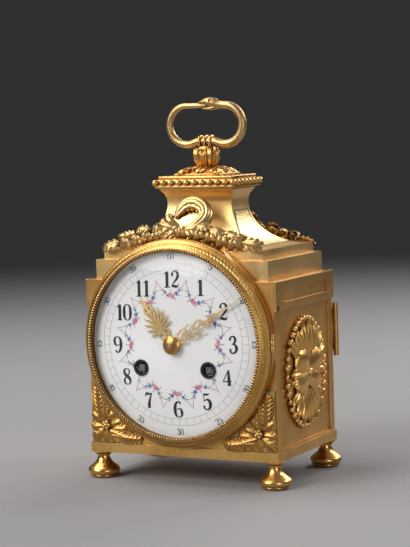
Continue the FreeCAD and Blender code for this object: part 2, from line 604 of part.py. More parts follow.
def snake_handle():
    """A snake bent into a long ring: straight bars above and below, half rings at the ends, its head on top."""
    bend = s.handle_rise / 2
    straight = s.handle_width / 2 - s.bar_radius - bend
    middle = handle_axis + bend
    pieces = []
    for i, level in enumerate((handle_axis, handle_axis + s.handle_rise)):
        pieces.append(cylinder(f"snake_bar_{i}", (-straight, 0, level), s.bar_radius, straight * 2, "x"))
    for i, side in enumerate((-1, 1)):
        loop = doc.addObject("Part::Torus", f"snake_bend_{i}")
        bind(loop, "Radius1", bend)
        bind(loop, "Radius2", s.bar_radius)
        loop.Angle3 = 180
        turn = Rotation(Vector(0, 0, 1), Vector(side, 0, 0), Vector(0, side, 0), "XYZ")
        pieces.append(place(loop, (straight * side, 0, middle), turn))
    head = doc.addObject("Part::Ellipsoid", "snake_head")
    bind(head, "Radius1", s.head_height / 2)
    bind(head, "Radius2", s.head_length / 2)
    bind(head, "Radius3", s.head_width / 2)
    place(head, (s.head_offset, 0, handle_axis + s.handle_rise + s.head_lift))
    node("snake_handle", fuse("snake_handle", pieces + [head]))


front_face = -half_depth - s.seat_thickness
spigot_back = -half_depth + s.spigot_depth
collar_bore = s.dial_radius + s.dial_clearance
collar_radius = collar_bore + s.collar_wall
dial_seat = front_face + s.dial_seat_depth
dial_edge_front = dial_seat - s.dial_edge
dial_front = dial_edge_front - s.dial_crown
bezel_back = front_face - s.bezel_gap
bezel_front = bezel_back - s.bezel_depth
bezel_bore = collar_radius + s.bezel_clearance
glass_seat = bezel_front + s.bezel_lip
door_inside = half_depth + s.seat_thickness + s.bezel_gap
door_outside = door_inside + s.door_thickness
plate_back = spigot_back + s.plate_thickness
rear_plate_front = plate_back + s.pillar_length
rear_plate_back = rear_plate_front + s.plate_thickness
bezel_hinge_centre = axis_z + s.bezel_hinge_rise
FIXING_ANGLES = (45, 135, 225, 315)
PILLAR_ANGLES = (-90, 10, 80, 150)


def around(radius, degrees):
    """A place on a circle about the dial's axis, as distances right of it and above it."""
    return radius * math.cos(math.radians(degrees)), radius * math.sin(math.radians(degrees))


def front_ring():
    ring = turned("front_ring_turned", [
        (-half_depth, s.seat_radius), (front_face, s.seat_radius), (front_face, collar_radius),
        (front_face - s.collar_height, collar_radius), (front_face - s.collar_height, collar_bore),
        (dial_seat, collar_bore), (dial_seat, s.spigot_radius - s.spigot_wall),
        (spigot_back, s.spigot_radius - s.spigot_wall), (spigot_back, s.spigot_radius),
        (-half_depth, s.spigot_radius),
    ], "y", (0, 0, axis_z))
    made, rooms = knuckle_parts("front_ring", -1, s.bezel_hinge_length, bezel_hinge_centre, True)
    for i, angle in enumerate(FIXING_ANGLES):
        x, z = around(1, angle)
        circle = s.spigot_radius - s.spigot_wall / 2
        at = (circle * x, spigot_back - s.fixing_depth, circle * z + axis_z)
        rooms.append(cylinder(f"ring_fixing_{i}", at, s.fixing_radius + s.stud_clearance, s.fixing_depth * 2, "y"))
    node("front_ring", cut("front_ring", fuse("front_ring_whole", [ring] + made), rooms))


def bezel():
    bead = s.bezel_lip_radius + s.bezel_bead
    ring = turned("bezel_turned", [
        (bezel_back, bezel_bore), (bezel_back, s.bezel_radius), (bezel_back - s.bezel_band, s.bezel_radius),
        (bezel_front + s.bezel_round, bead + s.bezel_round), (bezel_front, bead),
        (bezel_front, bead - s.bezel_bead / 2), (bezel_front + s.bezel_lip / 2, s.bezel_lip_radius),
        (glass_seat, s.bezel_lip_radius), (glass_seat, bezel_bore),
    ], "y", (0, 0, axis_z))
    made, rooms = knuckle_parts("bezel", -1, s.bezel_hinge_length, bezel_hinge_centre, False)
    node("bezel", cut("bezel", fuse("bezel_whole", [ring] + made), rooms))


def bezel_glass():
    edge = bezel_bore - s.glass_clearance
    dome = s.bezel_lip_radius - s.glass_clearance
    inner = dome - s.glass_flange / 2
    hollow = s.glass_crown - s.glass_thickness + s.glass_flange
    node("bezel_glass", turned("bezel_glass", [
        (glass_seat + s.glass_flange, edge), (glass_seat, edge), (glass_seat, dome, cap_arc(dome, s.glass_crown)),
        (glass_seat - s.glass_crown, 0),
        (glass_seat - s.glass_crown + s.glass_thickness, 0, -cap_arc(inner, hollow)),
        (glass_seat + s.glass_flange, inner),
    ], "y", (0, 0, axis_z)))


def dial():
    sphere = cap_arc(s.dial_radius, s.dial_crown)
    plate = turned("dial_plate", [
        (dial_seat, s.dial_radius), (dial_edge_front, s.dial_radius, sphere), (dial_front, s.dial_hole),
        (dial_front + s.dial_thickness, s.dial_hole, -sphere), (dial_seat, s.dial_radius - s.dial_rim),
    ], "y", (0, 0, axis_z))
    holes = []
    for i, side in enumerate((-1, 1)):
        at = (s.winding_x * side, dial_front - s.dial_edge, axis_z - s.winding_drop)
        holes.append(cylinder(f"dial_winding_{i}", at, s.winding_hole, s.dial_edge * 4, "y"))
    node("dial", cut("dial", plate, holes))


def round_ended_slot(centre, angle, length, width, low, high):
    """A slot solid along Y, its long side turned to the angle in the XZ plane."""
    along = Vector(math.cos(angle), 0, math.sin(angle)) * ((length - width) / 2)
    return link_bar(centre - along, centre + along, width, low, high)


def link_bar(start, end, width, low, high):
    """A bar with round ends between two places in the XZ plane, from depth low to high."""
    along = (end - start).normalize()
    side = Vector(-along.z, 0, along.x) * (width / 2)
    tip = along * (width / 2)
    corners = [start + side, end + side, end + tip, end - side, start - side, start - tip]
    corners = [Vector(p.x, low, p.z) for p in corners]
    edges = [
        Part.LineSegment(corners[0], corners[1]), Part.Arc(corners[1], corners[2], corners[3]),
        Part.LineSegment(corners[3], corners[4]), Part.Arc(corners[4], corners[5], corners[0]),
    ]
    return Part.Face(Part.Wire([edge.toShape() for edge in edges])).extrude(Vector(0, high - low, 0))


def rear_door():
    rim_start = s.door_radius - s.door_rim
    crest = door_outside + s.door_rim_height
    panel = turned("door_turned", [
        (door_inside, 0), (door_outside, 0), (door_outside, rim_start), (crest, rim_start + s.door_rim_height),
        (crest, s.door_radius - s.door_rim_height), (door_outside, s.door_radius), (door_inside, s.door_radius),
    ], "y", (0, 0, axis_z))
    made, rooms = knuckle_parts("door", 1, s.door_hinge_length, axis_z, False)
    shaft = (-s.knob_offset, door_inside - s.door_thickness, axis_z)
    rooms.append(cylinder("door_knob_hole", shaft, s.knob_shaft + s.knob_clearance, s.door_thickness * 3, "y"))
    slots = []
    count = int(number(s.door_slots))
    low, high = number(door_inside - s.door_thickness), number(door_outside + s.door_thickness)
    for i in range(count):
        angle = 360 / count * (i + 0.5)
        x, z = around(number(s.door_slot_radius), angle)
        centre = Vector(x, 0, z + number(axis_z))
        slots.append(round_ended_slot(centre, math.radians(angle), number(s.door_slot_length),
                                      number(s.door_slot_width), low, high))
    piercing = doc.addObject("Part::Feature", "door_piercing")
    piercing.Shape = Part.makeCompound(slots)
    whole = fuse("door_whole", [panel] + made)
    node("rear_door", cut("rear_door", cut("door_pierced", whole, [piercing]), rooms))


def door_knob():
    """The door's turning button: ball outside, tongue inside that turns behind the rear panel."""
    tongue_back = inner_depth - s.tongue_gap
    tongue_low = tongue_back - s.tongue_thickness
    neck = door_outside + s.knob_clearance
    tip = neck + s.knob_reach
    collar = neck + s.knob_collar_length
    middle = tip - s.knob_radius
    ball = turned("knob_turned", [
        (tongue_low, 0), (tongue_low, s.knob_shaft), (neck, s.knob_shaft), (neck, s.knob_collar),
        (collar, s.knob_collar), (collar + s.knob_neck_length, s.knob_neck),
        (middle - s.knob_crown, s.knob_radius - s.knob_crown / 2), (middle, s.knob_radius),
        (tip - s.knob_crown, s.knob_radius - s.knob_crown), (tip, s.knob_radius / 2), (tip, 0),
    ], "y", (-s.knob_offset, 0, axis_z))
    tongue = box("knob_tongue", (-s.knob_offset - s.tongue_width / 2, tongue_low, axis_z - s.tongue_width / 2),
                 (-s.knob_offset + s.tongue_width / 2, tongue_back, axis_z + s.tongue_length))
    node("door_knob", fuse("door_knob", [ball, tongue]))


def hinge_pins():
    made = []
    for name, side, length, centre in (("bezel", -1, s.bezel_hinge_length, bezel_hinge_centre),
                                       ("door", 1, s.door_hinge_length, axis_z)):
        at = (hinge_x, hinge_y * side, centre - length / 2)
        made.append(cylinder(name + "_hinge_pin", at, s.hinge_pin_radius, length))
    node("hinge_pins", group("hinge_pins", made))


# Teeth: involute flanks with short wheel points, so that small pinions run free
PRESSURE = math.radians(25)
FREE_PLAY = 0.92
WHEEL_TOOTH = (0.55, 1.0)
PINION_TOOTH = (0.9, 0.8)
WHEEL_ARMS = 5
ESCAPE_ARMS = 4


def involute(angle):
    return math.tan(angle) - angle


def toothed(teeth, module, tooth, phase, low, high, centre, holes=()):
    """A toothed disc about centre, with one tooth on the phase angle; holes are wires left open in it."""
    pitch = module * teeth / 2
    base = pitch * math.cos(PRESSURE)
    top = pitch + tooth[0] * module
    root = pitch - tooth[1] * module
    half = math.pi / (2 * teeth) * FREE_PLAY
    start = max(base, root)
    radii = [start, (start + top) / 2, top]
    flank = [(r, half + involute(PRESSURE) - involute(math.acos(min(base / r, 1)))) for r in radii]
    if root < base:
        flank = [(root, flank[0][1])] + flank
    points = []
    for i in range(teeth):
        middle = phase + 2 * math.pi * i / teeth
        for r, a in flank:
            points.append((r, middle - a))
        for r, a in reversed(flank):
            points.append((r, middle + a))
    corners = [centre + Vector(r * math.cos(a), low, r * math.sin(a)) for r, a in points]
    rim = Part.makePolygon(corners + corners[:1])
    face = Part.makeFace([rim] + list(holes), "Part::FaceMakerBullseye")
    return face.extrude(Vector(0, high - low, 0))


def crossings(centre, low, inner, outer, arms, arm_width):
    """The openings between the arms of a wheel."""
    wires = []
    for i in range(arms):
        from_angle, to_angle = 2 * math.pi * i / arms, 2 * math.pi * (i + 1) / arms
        rim = []
        for r in (inner, outer):
            trim = arm_width / 2 / r
            span = [from_angle + trim, (from_angle + to_angle) / 2, to_angle - trim]
            rim.append([centre + Vector(r * math.cos(a), low, r * math.sin(a)) for a in span])
        edges = [Part.LineSegment(rim[0][0], rim[1][0]), Part.Arc(*rim[1]),
                 Part.LineSegment(rim[1][2], rim[0][2]), Part.Arc(*reversed(rim[0]))]
        wires.append(Part.Wire([edge.toShape() for edge in edges]))
    return wires


def wheel(teeth, module, phase, low, high, centre, hub=s.wheel_hub, rim=s.wheel_rim):
    outer = module * teeth / 2 - number(rim)
    openings = crossings(centre, low, number(hub), outer, WHEEL_ARMS, number(s.wheel_arm))
    return toothed(teeth, module, WHEEL_TOOTH, phase, low, high, centre, openings)


def pinion(teeth, module, phase, low, high, centre):
    return toothed(teeth, module, PINION_TOOTH, phase, low, high, centre)


def rod(centre, radius, low, high):
    return Part.makeCylinder(radius, high - low, centre + Vector(0, low, 0), Vector(0, 1, 0))


def joined(parts):
    return parts[0].multiFuse(parts[1:]).removeSplitter()


def facing(start, end):
    """The angle of the line from one arbor to another."""
    return math.atan2(end.z - start.z, end.x - start.x)


def gap_towards(own, other, teeth):
    """The phase that puts a tooth space of this wheel on the line to the other arbor."""
    return facing(own, other) + math.pi / teeth


def meeting(first, first_radius, second, second_radius, turn):
    """The place at given distances from two arbors; turn picks the side."""
    span = (second - first).Length
    along = (span ** 2 + first_radius ** 2 - second_radius ** 2) / (2 * span)
    aside = math.sqrt(first_radius ** 2 - along ** 2) * turn
    unit = (second - first) * (1 / span)
    return first + unit * along + Vector(-unit.z, 0, unit.x) * aside


# Movement sizes as plain numbers
play = number(s.running_clearance)
front_low, front_high = number(spigot_back), number(plate_back)
rear_low, rear_high = number(rear_plate_front), number(rear_plate_back)
thick = number(s.wheel_thickness)
rod_radius, pivot = number(s.train_rod), number(s.pivot_radius)
great_teeth, second_teeth = int(number(s.great_teeth)), int(number(s.second_teeth))
centre_teeth, third_teeth, fourth_teeth = (int(number(t)) for t in (s.centre_teeth, s.third_teeth, s.fourth_teeth))
pin_teeth, fly_leaves, escape_leaves = (int(number(t)) for t in (s.pin_teeth, s.fly_pinion, s.escape_pinion))
leaves, centre_leaves = int(number(s.small_pinion)), int(number(s.centre_pinion))
great_tip = number(s.winding_x) - number(s.great_gap) / 2
great_module = great_tip / (great_teeth / 2 + WHEEL_TOOTH[0])
second_module, centre_module = number(s.second_module), number(s.centre_module)
third_module, fourth_module, pin_module = number(s.third_module), number(s.fourth_module), number(s.pin_module)


def beyond(start, distance, degrees):
    x, z = around(distance, degrees)
    return start + Vector(x, 0, z)


# Arbors, as places in the XZ plane
dial_axis = Vector(0, 0, number(axis_z))
going_axis = dial_axis + Vector(number(s.winding_x), 0, -number(s.winding_drop))
strike_axis = dial_axis + Vector(-number(s.winding_x), 0, -number(s.winding_drop))
great_reach = great_module * (great_teeth + leaves) / 2
second_reach = second_module * (second_teeth + centre_leaves) / 2
second_axis = meeting(going_axis, great_reach, dial_axis, second_reach, -1)
strike_second_axis = meeting(strike_axis, great_reach, dial_axis, second_reach, 1)
third_axis = beyond(dial_axis, centre_module * (centre_teeth + leaves) / 2, number(s.third_angle))
fourth_axis = beyond(third_axis, third_module * (third_teeth + leaves) / 2, number(s.fourth_angle))
escape_axis = beyond(fourth_axis, fourth_module * (fourth_teeth + escape_leaves) / 2, number(s.escape_angle))
lever_axis = beyond(escape_axis, number(s.escape_radius + s.lever_distance), number(s.lever_angle))
balance_axis = beyond(lever_axis, number(s.balance_distance), number(s.balance_angle))
pin_axis = beyond(strike_second_axis, second_reach, number(s.pin_angle))
fly_axis = beyond(pin_axis, pin_module * (pin_teeth + fly_leaves) / 2, number(s.fly_angle))
hammer_axis = dial_axis + Vector(number(s.hammer_x), 0, number(s.hammer_z))
stud_axis = beyond(dial_axis, number(s.cannon_module) * (number(s.cannon_teeth) + number(s.minute_teeth)) / 2, 90)
cock_axis = beyond(balance_axis, number(s.balance_radius + s.cock_gap), number(s.cock_angle))
pillar_axes = [beyond(dial_axis, number(s.pillar_circle), angle) for angle in PILLAR_ANGLES]
fixing_circle = number(s.spigot_radius) - number(s.spigot_wall) / 2
fixing_axes = [beyond(dial_axis, fixing_circle, angle) for angle in FIXING_ANGLES]
click_reach = number(s.ratchet_radius + s.click_distance)
click_axes = {1: beyond(going_axis, click_reach, number(s.click_angle)),
              -1: beyond(strike_axis, click_reach, 180 - number(s.click_angle))}

# Depths of the wheels, from the barrels' great wheels backwards
barrel_low = front_high + number(s.barrel_end)
barrel_high = barrel_low + number(s.barrel_height)
great_low = barrel_high - number(s.great_thickness)
second_low = barrel_high + number(s.second_gap)
strike_second_low = barrel_high + number(s.strike_second_gap)
centre_low = rear_low - number(s.centre_gap) - thick
third_low = great_low - number(s.third_gap) - thick
fourth_low = barrel_high + number(s.fourth_gap)
pin_low = great_low - number(s.pin_gap) - thick
platform_top = rear_high + number(s.platform_thickness)
lever_low = platform_top + number(s.lever_rise)
lever_high = lever_low + number(s.lever_thickness)
bridge_low = lever_high + number(s.bridge_rise)
bridge_high = bridge_low + number(s.bridge_thickness)
balance_low = bridge_high + number(s.balance_rise)
cock_low = balance_low + number(s.balance_thickness + s.hairspring_rise + s.hairspring_width + s.cock_rise)
cock_high = cock_low + number(s.cock_thickness)
hour_front = number(dial_front - s.hour_hand_lift - s.hour_hand_thickness)
minute_front = number(dial_front - s.minute_hand_lift - s.minute_hand_thickness)
minute_low = front_low - number(s.motion_gap) - thick
pinion_front = minute_low - number(s.minute_pinion_length)
stud_end = pinion_front - number(s.stud_lead)
shake, inset, overhang = number(s.end_shake), number(s.pivot_inset), number(s.pinion_overhang)


def arbor(centre, extra):
    """An arbor between the plates with its two pivots, and what is on it."""
    pivots = rod(centre, pivot, front_low + inset, rear_high - inset)
    return joined([rod(centre, rod_radius, front_high + shake, rear_low - shake), pivots] + extra)


def bored(shape, holes, low, high):
    """The shape with round holes right through between two depths, each given by its axis and radius."""
    margin = high - low
    return shape.cut([rod(axis, radius, low - margin, high + margin) for axis, radius in holes])


def plates():
    front = rod(dial_axis, number(s.front_plate_radius), front_low, front_high)
    stud = rod(stud_axis, number(s.centre_rod), stud_end, front_high)
    train = [second_axis, third_axis, fourth_axis, strike_second_axis, pin_axis, fly_axis]
    tails = [(axis, number(s.pillar_tail) + play) for axis in pillar_axes]
    holes = [(axis, pivot + play) for axis in train + [hammer_axis]]
    holes += [(dial_axis, number(s.centre_rod) + play), (escape_axis, number(s.escape_pivot) + play)]
    holes += [(axis, number(s.arbor_radius) + play) for axis in (going_axis, strike_axis)]
    holes += [(axis, number(s.fixing_radius) + play) for axis in fixing_axes + list(click_axes.values())]
    feature("front_plate", bored(front, tails + holes, front_low, front_high).fuse(stud))
    back = rod(dial_axis, number(s.plate_radius), rear_low, rear_high)
    holes = [(axis, pivot + play) for axis in train + [dial_axis]]
    holes += [(escape_axis, number(s.escape_pass)), (hammer_axis, rod_radius + play)]
    holes += [(axis, number(s.arbor_pivot) + play) for axis in (going_axis, strike_axis)]
    feature("back_plate", bored(back, tails + holes, rear_low, rear_high))


def pillars():
    made = []
    for axis in pillar_axes:
        tail = rod(axis, number(s.pillar_tail), front_low, rear_high + number(s.nut_height))
        made.append(joined([rod(axis, number(s.pillar_radius), front_high, rear_low), tail]))
    feature("pillars", Part.makeCompound(made))


def movement_fixings():
    """Nuts on the pillars and screws from the front plate into the front ring."""
    made = []
    nut_top = rear_high + number(s.nut_height)
    for axis in pillar_axes:
        nut = rod(axis, number(s.nut_radius), rear_high, nut_top)
        made.append(bored(nut, [(axis, number(s.pillar_tail) + play)], rear_high, nut_top))
    for axis in fixing_axes:
        head = rod(axis, number(s.fixing_head), front_high, front_high + number(s.fixing_head_height))
        shank = rod(axis, number(s.fixing_radius), front_low - number(s.fixing_depth) + inset, front_high)
        made.append(joined([head, shank]))
    feature("movement_fixings", Part.makeCompound(made))


def spiral(centre, inner, outer, turns, strip, low, high):
    """A flat spiral strip, as a coiled spring lies."""
    steps = 20 * turns
    inside, outside = [], []
    for i in range(steps + 1):
        angle = 2 * math.pi * turns * i / steps
        radius = inner + (outer - strip - inner) * i / steps
        for r, side in ((radius, inside), (radius + strip, outside)):
            side.append(centre + Vector(r * math.cos(angle), low, r * math.sin(angle)))
    corners = inside + outside[::-1]
    return Part.Face(Part.makePolygon(corners + corners[:1])).extrude(Vector(0, high - low, 0))


def barrel(label, axis, follower):
    outer = great_tip - number(s.barrel_rim)
    inner = outer - number(s.barrel_wall)
    room_low = barrel_low + number(s.barrel_cap)
    drum = rod(axis, outer, barrel_low, great_low)
    great = toothed(great_teeth, great_module, WHEEL_TOOTH, facing(axis, follower), great_low, barrel_high, axis)
    room = rod(axis, inner, room_low, great_low)
    hooking = rod(axis - Vector(0, 0, number(s.cap_hole_drop)), number(s.cap_hole), barrel_low, room_low)
    hollow = drum.fuse(great).cut([room, hooking])
    feature(label + "_barrel", bored(hollow, [(axis, number(s.arbor_radius) + play)], barrel_low, barrel_high))
    side_gap = number(s.spring_side_gap)
    feature(label + "_mainspring", spiral(
        axis, number(s.arbor_radius + s.spring_inner_gap), inner - number(s.spring_outer_gap),
        int(number(s.spring_turns)), number(s.spring_strip), room_low + side_gap, great_low - side_gap))


def winding_arbor(label, axis):
    """A barrel arbor: pivot, round shaft, ratchet before the front plate, and the square that takes the key."""
    ratchet_high = front_low - shake
    ratchet_low = ratchet_high - number(s.ratchet_thickness)
    reach = (axis - dial_axis).Length
    face = number(dial_front) + number(s.dial_crown) * (reach / number(s.dial_radius)) ** 2
    size = number(s.square_size)
    square_low = face + number(s.square_recess)
    square = Part.makeBox(size, ratchet_low - square_low, size, axis + Vector(-size / 2, square_low, -size / 2))
    teeth = int(number(s.ratchet_teeth))
    tip = number(s.ratchet_radius)
    root = tip - number(s.ratchet_tooth)
    corners = []
    for i in range(teeth):
        a = 2 * math.pi * i / teeth
        for r in (tip, root):
            corners.append(axis + Vector(r * math.cos(a), ratchet_low, r * math.sin(a)))
    ratchet = Part.Face(Part.makePolygon(corners + corners[:1])).extrude(Vector(0, ratchet_high - ratchet_low, 0))
    shaft = rod(axis, number(s.arbor_radius), ratchet_low, rear_low - shake)
    end = rod(axis, number(s.arbor_pivot), rear_low - shake - number(s.arbor_step), rear_high - inset)
    feature(label + "_arbor", joined([shaft, square, ratchet, end]))


def click(label, axis, side):
    """The pawl over a ratchet wheel, drawn with its nose just clear of the tooth points."""
    pivot_at = click_axes[side]
    high = front_low - shake
    low = high - number(s.ratchet_thickness)
    width = number(s.click_width)
    reach = number(s.ratchet_radius + s.click_gap) + width / 2
    angle = number(s.click_nose_angle)
    nose = beyond(axis, reach, angle if side > 0 else 180 - angle)
    feature(label + "_click", joined([
        rod(pivot_at, number(s.click_eye), low, high), link_bar(pivot_at, nose, width, low, high),
        rod(pivot_at, number(s.fixing_radius), low, front_high - inset),
    ]))


def going_train():
    feature("intermediate_wheel", arbor(second_axis, [
        wheel(second_teeth, second_module, facing(second_axis, dial_axis), second_low, second_low + thick,
              second_axis),
        pinion(leaves, great_module, gap_towards(second_axis, going_axis, leaves), great_low - overhang,
               second_low, second_axis),
    ]))
    feature("centre_wheel", joined([
        rod(dial_axis, number(s.centre_rod), minute_front - number(s.centre_rod_lead), rear_low - shake),
        rod(dial_axis, pivot, rear_low - shake - number(s.arbor_step), rear_high - inset),
        wheel(centre_teeth, centre_module, facing(dial_axis, third_axis), centre_low, centre_low + thick,
              dial_axis),
        pinion(centre_leaves, second_module, gap_towards(dial_axis, second_axis, centre_leaves),
               second_low - overhang, second_low + thick + overhang, dial_axis),
    ]))
    feature("third_wheel", arbor(third_axis, [
        wheel(third_teeth, third_module, facing(third_axis, fourth_axis), third_low, third_low + thick,
              third_axis),
        pinion(leaves, centre_module, gap_towards(third_axis, dial_axis, leaves), centre_low - overhang,
               centre_low + thick + overhang, third_axis),
    ]))
    pinion_low = third_low + thick + number(s.open_mesh)
    feature("fourth_wheel", arbor(fourth_axis, [
        wheel(fourth_teeth, fourth_module, facing(fourth_axis, escape_axis), fourth_low, fourth_low + thick,
              fourth_axis),
        pinion(leaves, third_module, gap_towards(fourth_axis, third_axis, leaves), pinion_low,
               pinion_low + number(s.short_pinion), fourth_axis),
    ]))


def strike_train():
    feature("strike_wheel", arbor(strike_second_axis, [
        wheel(second_teeth, second_module, facing(strike_second_axis, pin_axis), strike_second_low,
              strike_second_low + thick, strike_second_axis),
        pinion(leaves, great_module, gap_towards(strike_second_axis, strike_axis, leaves), great_low - overhang,
               barrel_high + overhang, strike_second_axis),
    ]))
    count = int(number(s.pins))
    circle = pin_module * pin_teeth / 2 - number(s.pin_rim)
    pins = []
    for i in range(count):
        place_of = beyond(pin_axis, circle, 360 / count * i)
        pins.append(rod(place_of, number(s.pin_radius), pin_low - number(s.pin_length), pin_low + thick))
    feature("pin_wheel", arbor(pin_axis, pins + [
        wheel(pin_teeth, pin_module, facing(pin_axis, fly_axis), pin_low, pin_low + thick, pin_axis),
        pinion(centre_leaves, second_module, gap_towards(pin_axis, strike_second_axis, centre_leaves),
               strike_second_low - overhang, strike_second_low + thick + overhang, pin_axis),
    ]))
    reach, width, sheet_metal = number(s.fly_reach), number(s.fly_width), number(s.fly_sheet)
    corner = fly_axis + Vector(-reach, pin_low - number(s.fly_gap) - width, -sheet_metal / 2)
    feature("fly", arbor(fly_axis, [
        Part.makeBox(2 * reach, width, sheet_metal, corner),
        pinion(fly_leaves, pin_module, gap_towards(fly_axis, pin_axis, fly_leaves), pin_low - overhang,
               pin_low + thick + overhang, fly_axis),
    ]))


def motion_work():
    """Cannon pinion, minute wheel and hour wheel between the front plate and the dial."""
    module = number(s.cannon_module)
    cannon_teeth, minute_teeth = int(number(s.cannon_teeth)), int(number(s.minute_teeth))
    small, hour_teeth = int(number(s.minute_pinion)), int(number(s.hour_teeth))
    hour_module = 2 * (stud_axis.z - dial_axis.z) / (small + hour_teeth)
    pipe, bore = number(s.cannon_pipe), number(s.centre_rod) + play
    cannon_low = minute_low - number(s.cannon_front)
    cannon_high = minute_low + thick + number(s.cannon_front)
    cannon = joined([
        pinion(cannon_teeth, module, gap_towards(dial_axis, stud_axis, cannon_teeth), cannon_low, cannon_high,
               dial_axis),
        rod(dial_axis, pipe, minute_front, cannon_high),
    ])
    feature("cannon_pinion", bored(cannon, [(dial_axis, bore)], minute_front, cannon_high))
    minute = joined([
        wheel(minute_teeth, module, facing(stud_axis, dial_axis), minute_low, minute_low + thick, stud_axis,
              s.motion_hub, s.motion_rim),
        pinion(small, hour_module, gap_towards(stud_axis, dial_axis, small), pinion_front, minute_low, stud_axis),
    ])
    feature("minute_wheel", bored(minute, [(stud_axis, bore)], pinion_front, minute_low + thick))
    hour_low = pinion_front + number(s.hour_inset)
    hour = joined([
        wheel(hour_teeth, hour_module, facing(dial_axis, stud_axis), hour_low, hour_low + thick, dial_axis,
              s.hour_hub, s.motion_rim),
        rod(dial_axis, number(s.hour_pipe), hour_front - number(s.pipe_lead), hour_low + thick),
    ])
    feature("hour_wheel", bored(hour, [(dial_axis, pipe + play)], hour_front, hour_low + thick))


def hand_shape(length, hub, bore, lift, thickness, swell, degrees):
    """A hand cut from sheet that follows the dial's crown: hub, swelling scroll and slender point."""
    sphere = number(cap_arc(s.dial_radius, s.dial_crown))
    direction = Vector(math.cos(math.radians(degrees)), 0, math.sin(math.radians(degrees)))
    aside = Vector(-direction.z, 0, direction.x)
    low, high = number(glass_seat - s.glass_crown), number(dial_edge_front)
    stations = [(0, number(s.hand_stem)), (length * 0.30, number(s.hand_neck)), (length * 0.52, swell),
                (length * 0.72, number(s.hand_shoulder)), (length, number(s.hand_point))]
    edge = [direction * along + aside * half for along, half in stations]
    edge += [direction * along - aside * half for along, half in reversed(stations)]
    corners = [Vector(p.x, low, p.z) + dial_axis for p in edge]
    blade = Part.Face(Part.makePolygon(corners + corners[:1])).extrude(Vector(0, high - low, 0))
    flat = bored(blade.fuse(rod(dial_axis, hub, low, high)), [(dial_axis, bore)], low, high)
    middle = dial_axis + Vector(0, number(dial_front) + sphere, 0)
    outer, inner = (Part.makeSphere(sphere + level, middle) for level in (lift + thickness, lift))
    return flat.common(outer).cut(inner)


def hands():
    fit = number(s.hand_fit)
    feature("hour_hand", hand_shape(
        number(s.hour_hand_length), number(s.hour_hand_hub), number(s.hour_pipe) + fit, number(s.hour_hand_lift),
        number(s.hour_hand_thickness), number(s.hour_hand_swell), number(s.hour_hand_angle)))
    feature("minute_hand", hand_shape(
        number(s.minute_hand_length), number(s.minute_hand_hub), number(s.cannon_pipe) + fit,
        number(s.minute_hand_lift), number(s.minute_hand_thickness), number(s.minute_hand_swell),
        number(s.minute_hand_angle)))
    seat = dial_front - s.minute_hand_lift - s.minute_hand_thickness - s.boss_gap
    floor = seat - s.boss_bore_depth
    bore = s.centre_rod + s.running_clearance
    node("hand_boss", turned("hand_boss", [
        (seat, bore), (seat, s.boss_radius),
        (seat - s.boss_edge, s.boss_radius, cap_arc(s.boss_radius, s.boss_height - s.boss_edge)),
        (seat - s.boss_height, 0), (floor, 0), (floor, bore),
    ], "y", (0, 0, axis_z)))


def escape_wheel():
    tip = number(s.escape_radius)
    count = int(number(s.escape_teeth))
    corners = []
    for i in range(count):
        a = 2 * math.pi * i / count
        for share, lean in ((1.0, 0.0), (0.76, 0.10), (0.76, 0.34)):
            turn, r = a + lean, tip * share
            corners.append(escape_axis + Vector(r * math.cos(turn), lever_low, r * math.sin(turn)))
    inner, outer = number(s.lever_eye), tip * 0.62
    openings = crossings(escape_axis, lever_low, inner, outer, ESCAPE_ARMS, number(s.pallet_width))
    disc = Part.makeFace([Part.makePolygon(corners + corners[:1])] + openings, "Part::FaceMakerBullseye")
    feature("escape_wheel", joined([
        rod(escape_axis, number(s.escape_rod), front_high + shake, bridge_low - shake),
        rod(escape_axis, number(s.escape_pivot), front_low + inset, bridge_high),
        disc.extrude(Vector(0, lever_high - lever_low, 0)),
        pinion(escape_leaves, fourth_module, gap_towards(escape_axis, fourth_axis, escape_leaves),
               fourth_low - overhang, fourth_low + thick + overhang, escape_axis),
    ]))


def pallet_lever():
    """The lever: eye, fork towards the balance and two pallets that stop short of the escape wheel."""
    width, stone_width = number(s.lever_width), number(s.pallet_width)
    run = balance_axis - lever_axis
    free = number(s.roller_radius + s.fork_gap) + width / 2
    fork = lever_axis + run * (1 - free / run.Length)
    pieces = [rod(lever_axis, number(s.lever_pivot), rear_high + shake, bridge_high),
              rod(lever_axis, number(s.lever_eye), lever_low, lever_high),
              link_bar(lever_axis, fork, width, lever_low, lever_high)]
    for side in (90, -90):
        end = beyond(lever_axis, number(s.lever_arm), math.degrees(facing(escape_axis, lever_axis)) + side)
        outward = (end - escape_axis).normalize()
        stone = escape_axis + outward * (number(s.escape_radius + s.pallet_gap) + stone_width / 2)
        pieces.append(link_bar(lever_axis, end, width, lever_low, lever_high))
        pieces.append(link_bar(end, stone, stone_width, lever_low, lever_high))
    feature("pallet_lever", joined(pieces))


def balance():
    radius, rim = number(s.balance_radius), number(s.balance_rim)
    high = balance_low + number(s.balance_thickness)
    ring = bored(rod(balance_axis, radius, balance_low, high), [(balance_axis, radius - rim)], balance_low, high)
    spoke = Part.makeBox(2 * radius - rim, high - balance_low, rim,
                         balance_axis + Vector(rim / 2 - radius, balance_low, -rim / 2))
    feature("balance_wheel", joined([
        ring, spoke, rod(balance_axis, number(s.balance_rod), platform_top + shake, cock_low - shake),
        rod(balance_axis, number(s.balance_pivot), rear_high + inset, cock_high - inset),
        rod(balance_axis, number(s.roller_radius), lever_low, lever_high),
    ]))
    spring_low = high + number(s.hairspring_rise)
    feature("hairspring", spiral(
        balance_axis, number(s.hairspring_inner), number(s.hairspring_outer), int(number(s.hairspring_turns)),
        number(s.hairspring_strip), spring_low, spring_low + number(s.hairspring_width)))


